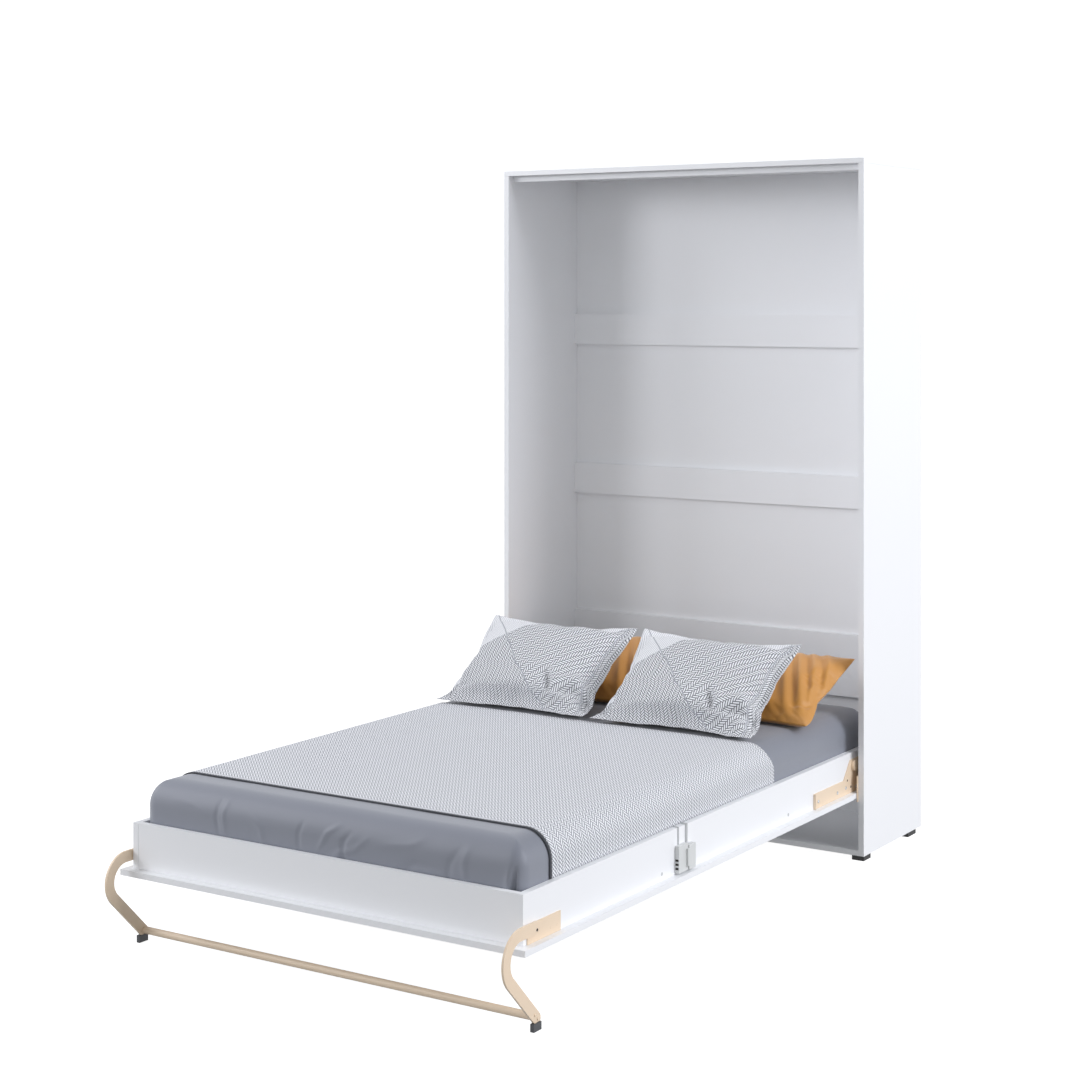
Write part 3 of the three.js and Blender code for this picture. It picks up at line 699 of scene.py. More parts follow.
# ---- Bed frame -----------------------------------------------------------------------
class Head(Enum):
    """Kinds of fastener head that show on the bed."""

    PAN = "pan"
    BUTTON = "button"
    CAP = "cap"
    FLUSH = "flush"
    BORE = "bore"

    def profile(self, radius: float) -> list[tuple[float, float]]:
        """Give the head's section.

        Args:
            radius: Outer radius, in millimetres.

        Returns:
            (radius, height) pairs, from the axis at the bottom to the axis at the top.
        """
        shapes = {
            Head.PAN: [(1, -0.6), (1, 0.8), (0.8, 1.7), (0.42, 2.1), (0.34, 1.0), (0, 0.9)],
            Head.BUTTON: [(1, -0.6), (1, 0.9), (0.88, 1.6), (0.5, 2.2), (0, 2.4)],
            Head.CAP: [(1, -0.6), (1, 0.3), (0.9, 0.7), (0.55, 0.7), (0.45, 0.3), (0, 0.3)],
            Head.FLUSH: [(1, -0.6), (1, 0.1), (0.9, 0.2), (0.5, 0.2), (0.4, 0.05), (0, 0.05)],
            # BORE is no head: a thin disc that carries the painted shade of a hole.
            Head.BORE: [(1, -0.4), (1, 0.12), (0.8, 0.18), (0, 0.18)],
        }
        section = shapes[self]
        return [(0, section[0][1])] + [(share * radius, height) for share, height in section]


@dataclass
class BedFrame:
    """Rails, end boards, front panel, slats and the steelwork on the rails.

    Attributes:
        edge: Rounding of the boards' edge strips, in millimetres.
        plate_edge: Rounding of the pressed plates, in millimetres.
        slat_edge: Rounding of the bent slats, in millimetres.
        cleat_edge: Rounding of the cleats under them, in millimetres.
        bolt_edge: Rounding of the large bracket bolts, in millimetres.
        pivot_edge: Rounding of the leg's bolts, in millimetres.
        rail_caps: (depth, height) of the connector caps on each rail.
        bracket_screws: (depth, height) of the screws on each bracket.
        bracket_bores: (depth, height, radius) of the open holes in each bracket.
        plate_screws: (depth, height) of the screws on each leg plate.
    """

    edge: float = 0.7
    plate_edge: float = 0.7
    slat_edge: float = 1.5
    cleat_edge: float = 0.8
    bolt_edge: float = 1.6
    pivot_edge: float = 0.5
    rail_caps: tuple = ((-439.5, 229.6), (-1186.7, 228.6))
    bracket_screws: tuple = ((-243, 229), (-108, 228), (-47, 231))
    bracket_bores: tuple = ((-36, 252, 3.2), (-10, 228, 4.0))
    plate_screws: tuple = ((-1731, 226), (-1702, 227))

    def build(self) -> None:
        """Dress the boards and plates, then fit the screws."""
        dress(("foot_board", "head_board", "front_panel"), WHITE_BOARD, self.edge)
        dress(both("side_rail"), WHITE_BOARD, self.edge)
        dress([f"slat_{i:02d}" for i in range(1, 10)], BIRCH, self.slat_edge)
        dress(both("slat_cleat"), BIRCH, self.cleat_edge)
        dress(both("bed_bracket", "leg_plate"), POWDER_COAT, self.plate_edge)
        dress(both("bracket_bolt"), POWDER_COAT, self.bolt_edge, 4)
        dress(both("leg_bolt"), ZINC, self.pivot_edge)
        for word, side in SIDES:
            self.fit_screws(word, side)

    def fit_screws(self, word: str, side: float) -> None:
        """Fit caps and screws on one side, and dark discs on the open bores as painted shade.

        Args:
            word: "left" or "right".
            side: Minus one or one.
        """
        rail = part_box(f"side_rail_{word}")
        rail_face = max(abs(rail[0].x), abs(rail[1].x)) * side
        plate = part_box(f"leg_plate_{word}")
        plate_face = max(abs(plate[0].x), abs(plate[1].x)) * side
        rows = [("rail_cap", Head.CAP, rail_face, ZINC, 5.0, self.rail_caps)]
        rows.append(("bracket_screw", Head.PAN, plate_face, ZINC, 5.2, self.bracket_screws))
        rows.append(("plate_screw", Head.FLUSH, plate_face, POWDER_COAT, 3.6, self.plate_screws))
        for stem, head, face, finish, radius, places in rows:
            for k, (y, z) in enumerate(places):
                centre = (face, depth(y), z * MM)
                piece = lathe(f"{stem}_{k + 1}_{word}", head.profile(radius), centre, side, finish)
                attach(piece, "bed")
        # Each open bore is a thin dark disc on the plate: painted shade of the hole.
        for k, (y, z, radius) in enumerate(self.bracket_bores):
            centre = (plate_face, depth(y), z * MM)
            name = f"bracket_bore_{k + 1}_{word}"
            bore = lathe(name, Head.BORE.profile(radius), centre, side, PAINTED_HOLE_SHADE)
            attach(bore, "bed")


@dataclass
class FootLeg:
    """The folding leg: curved bars, crossbar, pads and their screws.

    Attributes:
        bar_edge: Rounding of the flat bars and their pads, in millimetres.
        crossbar_edge: Rounding of the crossbar's ends, in millimetres.
        end_screws: (depth, height) of the two screws at each bar's lower end.
        screw_radius: Radius of those screws' heads, in millimetres.
        bore: (depth, height, radius) of the pivot's sunk head.
    """

    bar_edge: float = 0.9
    crossbar_edge: float = 0.6
    end_screws: tuple = ((-1812, 39), (-1800, 27))
    screw_radius: float = 3.4
    bore: tuple = (-1802, 239, 3.4)

    def build(self) -> None:
        """Dress the bars and pads, and fit the screws."""
        dress(both("leg_bar"), POWDER_COAT, self.bar_edge)
        dress(["leg_crossbar"], POWDER_COAT, self.crossbar_edge)
        dress(both("leg_pad"), PAD_PLASTIC, self.bar_edge)
        for word, side in SIDES:
            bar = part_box(f"leg_bar_{word}")
            face = max(abs(bar[0].x), abs(bar[1].x)) * side
            for k, (y, z) in enumerate(self.end_screws):
                centre = (face, depth(y), z * MM)
                name = f"leg_screw_{k + 1}_{word}"
                profile = Head.BUTTON.profile(self.screw_radius)
                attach(lathe(name, profile, centre, side, POWDER_COAT), "leg")
            # The pivot's sunk head is a thin dark disc: painted shade of its hollow.
            y, z, radius = self.bore
            centre = (face, depth(y), z * MM)
            name = f"leg_pivot_bore_shade_{word}"
            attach(lathe(name, Head.BORE.profile(radius), centre, side, PAINTED_HOLE_SHADE), "leg")


# ---- Mattress and bedding ------------------------------------------------------------
@dataclass
class Mattress:
    """A mattress in a smooth fitted sheet, softly rounded, with a few drawn folds.

    Attributes:
        step: Spacing of the mesh at the foot, in millimetres.
        far_step: Spacing along the rest of the length, in millimetres.
        fine_reach: How far the fine spacing reaches from the foot, in millimetres.
        round: Radius of the upper edges, in millimetres.
        corner: Radius of the upright corners, in millimetres.
        swell: How far the sides belly and the top waves, in millimetres.
        rim: Width of the top's edge that turns down over the round, in millimetres.
        turn_start: Share of the wall's height at which it starts to turn in.
        fold_reach: How far from the foot the folds reach, in millimetres.
        low: Lowest corner of the solid it replaces.
        high: Highest corner of the solid it replaces.
    """

    step: float = 6.0
    far_step: float = 16.0
    fine_reach: float = 132.0
    round: float = 70.0
    corner: float = 40.0
    swell: float = 1.6
    rim: float = 85.0
    turn_start: float = 0.62
    fold_reach: float = 120.0
    low: Vector = field(default_factory=lambda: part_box("mattress")[0])
    high: Vector = field(default_factory=lambda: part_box("mattress")[1])

    def plan(self, x: np.ndarray, y: np.ndarray) -> tuple[np.ndarray, np.ndarray, np.ndarray]:
        """Move points of a rectangle onto one with rounded corners.

        Args:
            x: Across, in metres.
            y: Along, in metres.

        Returns:
            New x and y, and how far each point lies inside the outline.
        """
        rc = self.corner * MM
        mid = (self.low + self.high) / 2
        hx, hy = (self.high.x - self.low.x) / 2, (self.high.y - self.low.y) / 2
        px, py = x - mid.x, y - mid.y
        cx, cy = np.clip(px, -hx + rc, hx - rc), np.clip(py, -hy + rc, hy - rc)
        dx, dy = px - cx, py - cy
        reach = np.maximum(np.abs(dx), np.abs(dy))
        length = np.maximum(np.hypot(dx, dy), 1e-12)
        inside = rc - reach
        core = reach < 1e-9
        edge = np.minimum(hx - np.abs(px), hy - np.abs(py))
        inside = np.where(core, edge, inside)
        return mid.x + cx + dx / length * reach, mid.y + cy + dy / length * reach, inside

    def lattice(self) -> tuple[np.ndarray, list]:
        """List the surface points and faces of a finely divided box.

        Returns:
            Points between zero and one on each axis, and the quads between them.
        """
        size = self.high - self.low
        fine, coarse = self.step * MM, self.far_step * MM
        near = np.arange(0, self.fine_reach * MM, fine)
        far = np.linspace(self.fine_reach * MM, size.y, int(size.y / coarse))
        marks = [np.linspace(0, 1, int(size.x / fine)), np.concatenate([near, far]) / size.y]
        marks.append(np.linspace(0, 1, int(size.z / fine)))
        n = [len(mark) - 1 for mark in marks]
        ids: dict[tuple[int, int, int], int] = {}
        points, faces = [], []

        def at(i: int, j: int, k: int) -> int:
            """Index of a lattice point, made the first time it is asked for."""
            if (i, j, k) not in ids:
                ids[(i, j, k)] = len(points)
                points.append((marks[0][i], marks[1][j], marks[2][k]))
            return ids[(i, j, k)]

        for i in range(n[0]):
            for j in range(n[1]):
                lid = [(i, j), (i + 1, j), (i + 1, j + 1), (i, j + 1)]
                faces.append(tuple(at(a, b, n[2]) for a, b in lid))
                faces.append((at(i, j, 0), at(i, j + 1, 0), at(i + 1, j + 1, 0), at(i + 1, j, 0)))
            for k in range(n[2]):
                faces.append((at(i, 0, k), at(i + 1, 0, k), at(i + 1, 0, k + 1), at(i, 0, k + 1)))
                head_end = [(i, k), (i, k + 1), (i + 1, k + 1), (i + 1, k)]
                faces.append(tuple(at(a, n[1], b) for a, b in head_end))
        for j in range(n[1]):
            for k in range(n[2]):
                faces.append((at(0, j, k), at(0, j, k + 1), at(0, j + 1, k + 1), at(0, j + 1, k)))
                right_side = [(j, k), (j + 1, k), (j + 1, k + 1), (j, k + 1)]
                faces.append(tuple(at(n[0], a, b) for a, b in right_side))
        return np.array(points), faces

    def build(self) -> bpy.types.Object:
        """Model the mattress and put it in the place of its plain solid.

        Returns:
            The mattress.
        """
        unit, faces = self.lattice()
        low, high = np.array(self.low), np.array(self.high)
        box = low + unit * (high - low)
        r = self.round * MM
        x, y, inside = self.plan(box[:, 0], box[:, 1])
        top = unit[:, 2] > 1 - 1e-9
        bottom = unit[:, 2] < 1e-9
        # Over the edge: the wall turns 45 degrees, and the top's rim the other 45.
        rim_share = np.clip(inside / (self.rim * MM), 0, 1)
        wall_share = np.clip((unit[:, 2] - self.turn_start) / (1 - self.turn_start), 0, 1)
        angle = np.where(top, math.pi / 4 * (1 + rim_share), math.pi / 4 * wall_share)
        inset = r * (1 - np.cos(angle))
        straight = low[2] + (high[2] - r - low[2]) * np.clip(unit[:, 2] / self.turn_start, 0, 1)
        z = np.where(top | (wall_share > 0), high[2] - r + r * np.sin(angle), straight)
        z = np.where(bottom, low[2], z)
        mid = (low + high) / 2
        nx, ny = self.outward(box[:, 0], box[:, 1], mid)
        # Top points keep their own place except within the rim, where they follow the round.
        wanted = np.where(rim_share < 1, inset, inside)
        shift = np.where(top, wanted - inside, np.where(bottom, 0.0, inset))
        x, y = x - nx * shift, y - ny * shift
        points = np.column_stack([x, y, z])
        points = self.unsettle(points, np.column_stack([nx, ny]), top, bottom)
        flat = np.column_stack([points[:, 0] + points[:, 2] * nx, points[:, 1] + points[:, 2] * ny])
        piece = mesh_object("mattress_in_sheet", points, faces, SHEET_COTTON, flat)
        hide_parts("mattress")
        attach(piece, "bed")
        return piece

    def outward(self, x: np.ndarray, y: np.ndarray, mid: np.ndarray) -> tuple[np.ndarray, np.ndarray]:
        """Level direction that points out of the nearest wall.

        Args:
            x: Across, in metres.
            y: Along, in metres.
            mid: Middle of the mattress.

        Returns:
            The direction's x and y for each point.
        """
        rc = self.corner * MM
        hx, hy = (self.high.x - self.low.x) / 2, (self.high.y - self.low.y) / 2
        px, py = x - mid[0], y - mid[1]
        dx = px - np.clip(px, -hx + rc, hx - rc)
        dy = py - np.clip(py, -hy + rc, hy - rc)
        near_side = (hx - np.abs(px)) < (hy - np.abs(py))
        flat_x = np.where(near_side, np.sign(px), 0.0)
        flat_y = np.where(near_side, 0.0, np.sign(py))
        length = np.hypot(dx, dy)
        away = length > 1e-9
        safe = np.where(away, length, 1.0)
        return np.where(away, dx / safe, flat_x), np.where(away, dy / safe, flat_y)

    def unsettle(
        self, points: np.ndarray, out: np.ndarray, top: np.ndarray, bottom: np.ndarray
    ) -> np.ndarray:
        """Let the stuffed cover wave a little and draw folds across its foot end.

        Args:
            points: Points of the smooth form, changed in place.
            out: Level direction out of the nearest wall, for each point.
            top: Which points are on the top.
            bottom: Which points are on the underside.

        Returns:
            The same points, moved.
        """
        wave = ripple(points, 4, 0.45) * self.swell * MM
        points[:, 2] -= np.where(top, np.abs(wave) * 0.8, 0)
        level = np.where(top | bottom, 0.0, -np.abs(wave) * 0.8)
        foot = points[:, 1] < self.low.y + self.fold_reach * MM
        places = np.column_stack([points[:, 0], points[:, 2]]) * 1000
        height = np.zeros(len(points))
        folds = [
            ([(583, 290), (584, 340), (588, 385)], 6.5, -13.0),
            ([(568, 290), (571, 345), (582, 392)], 8.0, 3.0),
            ([(598, 290), (599, 340), (598, 380)], 7.0, 2.5),
            ([(-345, 425), (-352, 380), (-338, 325)], 5.0, -3.0),
            ([(-318, 428), (-328, 390), (-320, 340)], 5.0, 2.6),
            ([(-60, 408), (-75, 372), (-68, 325)], 5.0, -3.0),
            ([(60, 415), (20, 390), (-10, 342)], 6.0, 3.0),
            ([(95, 400), (70, 372), (75, 320)], 6.0, -3.6),
            ([(150, 395), (110, 360), (60, 345), (20, 320)], 6.0, 3.0),
            ([(330, 420), (280, 395), (180, 382)], 9.0, 2.0),
            ([(-500, 410), (-430, 402), (-390, 380)], 9.0, 1.6),
            ([(430, 410), (400, 365), (395, 315)], 8.0, -2.6),
            ([(455, 415), (440, 370), (452, 310)], 8.0, 2.2),
            ([(250, 330), (300, 352), (380, 350)], 9.0, -2.0),
            ([(-250, 410), (-200, 370), (-190, 320)], 8.0, 1.8),
        ]
        for path, width, rise in folds:
            height += fold_line(places, path, width) * rise * MM
        level = level + np.where(foot, height, 0.0)
        points[:, 0] += out[:, 0] * np.where(foot, 0, level)
        points[:, 1] += np.where(foot & ~bottom, -level, out[:, 1] * level)
        return points


@dataclass
class Bedspread:
    """A woven spread laid over the mattress and hanging to the rails.

    Attributes:
        thickness: Cloth thickness, in millimetres.
        lift: Height above the mattress, in millimetres; not used.
        round: Radius over the mattress edge, in millimetres.
        columns: Mesh divisions across.
        rows: Mesh divisions along.
        skew: How far the head edge runs towards the head on the sides, in millimetres.
        hem_width: Width of the binding, in millimetres.
        hem_thickness: Thickness of the binding, in millimetres.
        hem_set: How far the binding sits in from the cut edge, in millimetres.
        low: Lowest corner of the solid it replaces.
        high: Highest corner of the solid it replaces.
    """

    thickness: float = 2.4
    lift: float = 0.9
    round: float = 71.0
    columns: int = 170
    rows: int = 150
    skew: float = 30.0
    hem_width: float = 8.0
    hem_thickness: float = 2.6
    hem_set: float = 0.6
    low: Vector = field(default_factory=lambda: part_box("bedspread")[0])
    high: Vector = field(default_factory=lambda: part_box("bedspread")[1])

    def section(self, share: np.ndarray) -> tuple[np.ndarray, np.ndarray, np.ndarray]:
        """Follow the cloth from its left hem over the bed to its right hem.

        Args:
            share: Zero at the left hem to one at the right.

        Returns:
            x and z of the cloth's middle, and the distance from the left hem.
        """
        r = self.round * MM
        half = self.high.x - self.thickness * MM / 2
        top = self.high.z - self.thickness * MM / 2
        side = top - r - self.low.z
        arc = r * math.pi / 2
        flat = 2 * (half - r)
        total = 2 * (side + arc) + flat
        s = share * total
        m = np.minimum(s, total - s)
        a = np.clip((m - side) / arc, 0, 1) * math.pi / 2
        x = half - r + r * np.cos(a)
        z = top - r + r * np.sin(a)
        z = np.where(m < side, self.low.z + m, z)
        over = m > side + arc
        x = np.where(over, half - r - (m - side - arc), x)
        x = np.where(s < total / 2, -x, x)
        return x, z, s

    def build(self) -> bpy.types.Object:
        """Lay the cloth and its bound hem.

        Returns:
            The spread.
        """
        u, v = np.meshgrid(np.linspace(0, 1, self.columns), np.linspace(0, 1, self.rows))
        u, v = u.ravel(), v.ravel()
        x, z, s = self.section(u)
        down = np.clip((self.high.z - z) / (self.high.z - self.low.z), 0, 1)
        head = self.high.y - 0.014 + self.skew * MM * (np.clip(down * 1.6, 0, 1) ** 1.5 - 0.55)
        head = np.minimum(head, self.high.y)
        y = self.low.y + v * (head - self.low.y)
        places = np.column_stack([s, y])
        crease = ripple(places, 21, 0.3) * 0.5 + ripple(places, 22, 0.11) * 0.25
        top = z > self.high.z - 0.03
        z = z - np.where(top, np.abs(crease) * 0.9 * MM, 0)
        x = x - np.where(top, 0, np.sign(x) * np.abs(crease) * 0.5 * MM)
        points = np.column_stack([x, y, z])
        faces = grid_faces(self.rows, self.columns)
        piece = mesh_object("bedspread_cloth", points, faces, SPREAD_CLOTH, places)
        solid = piece.modifiers.new("thickness", "SOLIDIFY")
        solid.thickness = self.thickness * MM
        solid.offset = 0.0
        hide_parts("bedspread")
        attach(piece, "bed")
        hem = self.hem(points[: self.columns])
        return piece

    def hem(self, line: np.ndarray) -> bpy.types.Object:
        """Bind the foot edge with a narrow folded strip, coloured dark as painted shadow under the hem.

        Args:
            line: Points along the foot edge.

        Returns:
            The binding.
        """
        wide, thick = self.hem_width * MM, self.hem_thickness * MM
        tangent = np.gradient(line, axis=0)
        tangent /= np.linalg.norm(tangent, axis=1)[:, None]
        out = np.column_stack([-tangent[:, 2], np.zeros(len(line)), tangent[:, 0]])
        loop = [(-0.5, -1), (0.5, -1), (0.8, 0), (0.5, 1), (-0.5, 1), (-0.8, 0)]
        points = []
        for p, n in zip(line, out):
            for a, b in loop:
                points.append(p + np.array([0, a * wide + self.hem_set * MM, 0]) + n * (b * thick / 2))
        size = len(loop)
        faces = []
        for i in range(len(line) - 1):
            for k in range(size):
                n = (k + 1) % size
                faces.append((i * size + k, i * size + n, (i + 1) * size + n, (i + 1) * size + k))
        faces.append(tuple(range(size))[::-1])
        faces.append(tuple(range((len(line) - 1) * size, len(line) * size)))
        arr = np.array(points)
        # Its dark colour is painted shadow under the hem.
        hem = mesh_object("bedspread_hem", arr, faces, HEM_PAINTED_SHADOW, arr[:, [0, 1]])
        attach(hem, "bed")
        return hem


@dataclass
class Pillow:
    """A stuffed pillow, sewn from two flat panels and blown up by simulation.

    Attributes:
        node: CAD node it replaces.
        width: Sewn width, in millimetres.
        height: Sewn height, in millimetres.
        thick: Thickness when stuffed, in millimetres.
        tilt: Lean from lying flat, in degrees.
        centre: Middle of the pillow, in the row frame, in metres.
        rest: Height of what it stands on, in metres.
        finish: Its cloth.
        slot: The record's material slot; not used.
        turn: Twist about the upright axis, in degrees.
        seed: Picks its creases.
        columns: Mesh divisions across.
        rows: Mesh divisions up.
        lying: Shares of the height between which it bends up from lying to leaning.
        flange: Width of the flat sewn border, in millimetres.
        firm: How far the filling holds the outline to the sewn size, up to one.
        sink: Depth that is pressed flat against the bed, in millimetres.
        stretch: Stiffness of the case cloth against stretching and squeezing.
        shear: Its stiffness against shearing.
        bend: Its stiffness against bending.
        pressure: How hard the filling pushes out.
        frames: Steps that the simulation runs for.
    """

    node: str
    width: float
    height: float
    thick: float
    tilt: float
    centre: tuple[float, float, float]
    rest: float
    finish: Finish
    slot: str
    turn: float = 0.0
    seed: int = 1
    columns: int = 92
    rows: int = 70
    lying: tuple[float, float] = (0.02, 0.22)
    flange: float = 0.0
    firm: float = 0.5
    sink: float = 16.0
    stretch: float = 22
    shear: float = 8
    bend: float = 0.35
    pressure: float = 4.0
    frames: int = 22

    def panels(self) -> tuple[np.ndarray, list, np.ndarray, np.ndarray]:
        """Lay the two panels on each other, joined round the rim.

        Returns:
            Points, faces, cloth coordinates, and which points are on the front panel.
        """
        w, h = self.width * MM, self.height * MM
        u, v = np.meshgrid(np.linspace(0, 1, self.columns), np.linspace(0, 1, self.rows))
        u, v = u.ravel(), v.ravel()
        crown = np.sqrt(np.clip(np.sin(math.pi * u) * np.sin(math.pi * v), 0, 1))
        front = np.column_stack([(u - 0.5) * w, (v - 0.5) * h, crown * 0.02])
        rim = (u < 1e-9) | (u > 1 - 1e-9) | (v < 1e-9) | (v > 1 - 1e-9)
        index = np.arange(len(u))
        back_index = index.copy()
        inner = np.where(~rim)[0]
        back_index[inner] = len(u) + np.arange(len(inner))
        back = front[inner] * np.array([1, 1, -1])
        points = np.vstack([front, back])
        flat = np.column_stack([u * w, v * h])
        flat = np.vstack([flat, flat[inner]])
        faces = grid_faces(self.rows, self.columns)
        faces += [tuple(back_index[list(f)][::-1]) for f in grid_faces(self.rows, self.columns)]
        is_front = np.zeros(len(points), bool)
        is_front[: len(u)] = True
        return points, faces, flat, is_front

    def inflate(self, piece: bpy.types.Object) -> None:
        """Blow the sewn panels up like a stuffed case and keep the result.

        Args:
            piece: The flat pillow.
        """
        cloth = piece.modifiers.new("stuffing", "CLOTH")
        setting = cloth.settings
        setting.quality = 6
        setting.mass = 0.25
        setting.tension_stiffness = self.stretch
        setting.compression_stiffness = self.stretch
        setting.shear_stiffness = self.shear
        setting.bending_stiffness = self.bend
        setting.use_pressure = True
        setting.uniform_pressure_force = self.pressure
        setting.effector_weights.gravity = 0.0
        cloth.collision_settings.use_collision = False
        cloth.collision_settings.use_self_collision = False
        cloth.point_cache.frame_start = 1
        cloth.point_cache.frame_end = self.frames
        for step in range(1, self.frames + 1):
            bpy.context.scene.frame_set(step)
        graph = bpy.context.evaluated_depsgraph_get()
        blown = piece.evaluated_get(graph).to_mesh()
        shape = np.zeros(len(blown.vertices) * 3, np.float32)
        blown.vertices.foreach_get("co", shape)
        piece.evaluated_get(graph).to_mesh_clear()
        piece.modifiers.remove(cloth)
        piece.data.vertices.foreach_set("co", shape)
        bpy.context.scene.frame_set(1)

    def crease(self, shape: np.ndarray, flat: np.ndarray, front: np.ndarray) -> np.ndarray:
        """Add the pillow's own creases; a plain pillow has only slight dimples.

        Args:
            shape: Points about the pillow's own centre, changed in place.
            flat: Cloth coordinates of the points.
            front: Which points are on the front panel.

        Returns:
            The same points, moved.
        """
        bump = ripple(flat, self.seed, 0.16) * 2.2 * MM
        u, v = flat[:, 0] / (self.width * MM), flat[:, 1] / (self.height * MM)
        inner = np.clip(16 * u * (1 - u) * v * (1 - v) * 1.6, 0, 1)
        shape[:, 2] += np.where(front, bump, -bump) * inner
        return shape

    def lay_cloth(self, piece: bpy.types.Object, shape: np.ndarray) -> None:
        """Measure the weave over the stuffed front, so that it keeps one scale.

        Args:
            piece: The pillow.
            shape: Its shaped points, the front panel's first.
        """
        grid = shape[: self.rows * self.columns].reshape(self.rows, self.columns, 3)
        across = np.zeros((self.rows, self.columns))
        along = np.zeros((self.rows, self.columns))
        across[:, 1:] = np.cumsum(np.linalg.norm(np.diff(grid, axis=1), axis=2), axis=1)
        along[1:] = np.cumsum(np.linalg.norm(np.diff(grid, axis=0), axis=2), axis=0)
        across += (self.width * MM - across[:, -1:]) / 2
        along += (self.height * MM - along[-1:]) / 2
        front = np.column_stack([across.ravel(), along.ravel()])
        rim = np.zeros((self.rows, self.columns), bool)
        rim[0], rim[-1], rim[:, 0], rim[:, -1] = True, True, True, True
        flat = np.vstack([front, front[~rim.ravel()]])
        corner = np.zeros(len(piece.data.loops), np.int32)
        piece.data.loops.foreach_get("vertex_index", corner)
        piece.data.uv_layers["cloth"].data.foreach_set("uv", flat[corner].astype(np.float32).ravel())

    def flatten_border(self, shape: np.ndarray, flat: np.ndarray, front: np.ndarray) -> np.ndarray:
        """Press the border between its two rows of stitching into a flat flange.

        Args:
            shape: Points about the pillow's own centre, changed in place.
            flat: Cloth coordinates of the points.
            front: Which points are on the front panel.

        Returns:
            The same points, moved.
        """
        if not self.flange:
            return shape
        w, h = self.width * MM, self.height * MM
        edge = np.minimum(np.minimum(flat[:, 0], w - flat[:, 0]), np.minimum(flat[:, 1], h - flat[:, 1]))
        inside = np.clip((edge / (self.flange * MM) - 0.85) / 1.5, 0, 1)
        full = inside * inside * (3 - 2 * inside)
        stitch = np.exp(-(((edge / MM - self.flange) / 3.0) ** 2)) * 1.2 * MM
        wavy = ripple(flat, self.seed + 40, 0.13) * 5.0 * MM * (1 - full)
        cloth = np.where(edge > 1e-6, 1.4 * MM, 0.0)
        side = np.where(front, 1.0, -1.0)
        shape[:, 2] = shape[:, 2] * full + side * (cloth * (1 - full) - stitch * 0.6) + wavy
        return shape

    def pose(self, shape: np.ndarray, flat: np.ndarray) -> np.ndarray:
        """Lay the pillow's lower edge down, lean the rest back, and seat it.

        Args:
            shape: Points about the pillow's own centre.
            flat: Cloth coordinates of the points; not used.

        Returns:
            Points in the row frame.
        """
        shares = np.linspace(0, 1, 201)
        bend = np.clip((shares - self.lying[0]) / (self.lying[1] - self.lying[0]), 0, 1)
        angle = math.radians(self.tilt) * bend * bend * (3 - 2 * bend)
        run = np.concatenate([[0], np.cumsum(np.cos((angle[1:] + angle[:-1]) / 2))]) / 200
        rise = np.concatenate([[0], np.cumsum(np.sin((angle[1:] + angle[:-1]) / 2))]) / 200
        height = self.height * MM
        share = np.clip(shape[:, 1] / height + 0.5, 0, 1)
        lean = np.interp(share, shares, angle)
        middle = np.interp(0.5, shares, run), np.interp(0.5, shares, rise)
        y = (np.interp(share, shares, run) - middle[0]) * height - shape[:, 2] * np.sin(lean)
        z = (np.interp(share, shares, rise) - middle[1]) * height + shape[:, 2] * np.cos(lean)
        a = math.radians(self.turn)
        x = shape[:, 0] * math.cos(a) - y * math.sin(a)
        y = shape[:, 0] * math.sin(a) + y * math.cos(a)
        out = np.column_stack([x, y, z]) + np.array(self.centre)
        # What would sink into the bed is pressed flat on it, with a soft turn at the edge.
        out[:, 2] += self.rest - self.sink * MM - np.percentile(out[:, 2], 2)
        lift = 7 * MM
        gap = (out[:, 2] - self.rest) / lift
        out[:, 2] = self.rest + lift * np.where(gap > 12, gap, np.log1p(np.exp(np.clip(gap, -30, 12))))
        return out

    def build(self) -> bpy.types.Object:
        """Sew, stuff, crease and place the pillow.

        Returns:
            The pillow.
        """
        points, faces, flat, front = self.panels()
        piece = mesh_object(f"{self.node}_stuffed", points, faces, self.finish, flat)
        self.inflate(piece)
        shape = np.zeros(len(points) * 3, np.float32)
        piece.data.vertices.foreach_get("co", shape)
        shape = shape.reshape(-1, 3).astype(float)
        spread = shape[:, 2].max() - shape[:, 2].min()
        wide = np.ptp(shape[:, 0]) / MM
        LOG.info("%s blown to %.0f mm thick, %.0f wide", self.node, spread / MM, wide)
        shape[:, 2] *= self.thick * MM / max(spread, 1e-6)
        # Filling pushes the rim back out, so the sides pull in less than bare cloth would.
        for axis, size in ((0, self.width), (1, self.height)):
            shape[:, axis] *= size * MM / np.ptp(shape[:, axis])
            shape[:, axis] = (1 - self.firm) * shape[:, axis] + self.firm * (flat[:, axis] - size * MM / 2)
        shape = self.flatten_border(shape, flat, front)
        shape = self.crease(shape, flat, front)
        self.lay_cloth(piece, shape)
        placed = self.pose(shape, flat)
        piece.data.vertices.foreach_set("co", placed.astype(np.float32).ravel())
        piece.data.update()
        smooth = piece.modifiers.new("finer", "SUBSURF")
        smooth.levels = smooth.render_levels = 1
        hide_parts(self.node)
        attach(piece, "bed")
        return piece


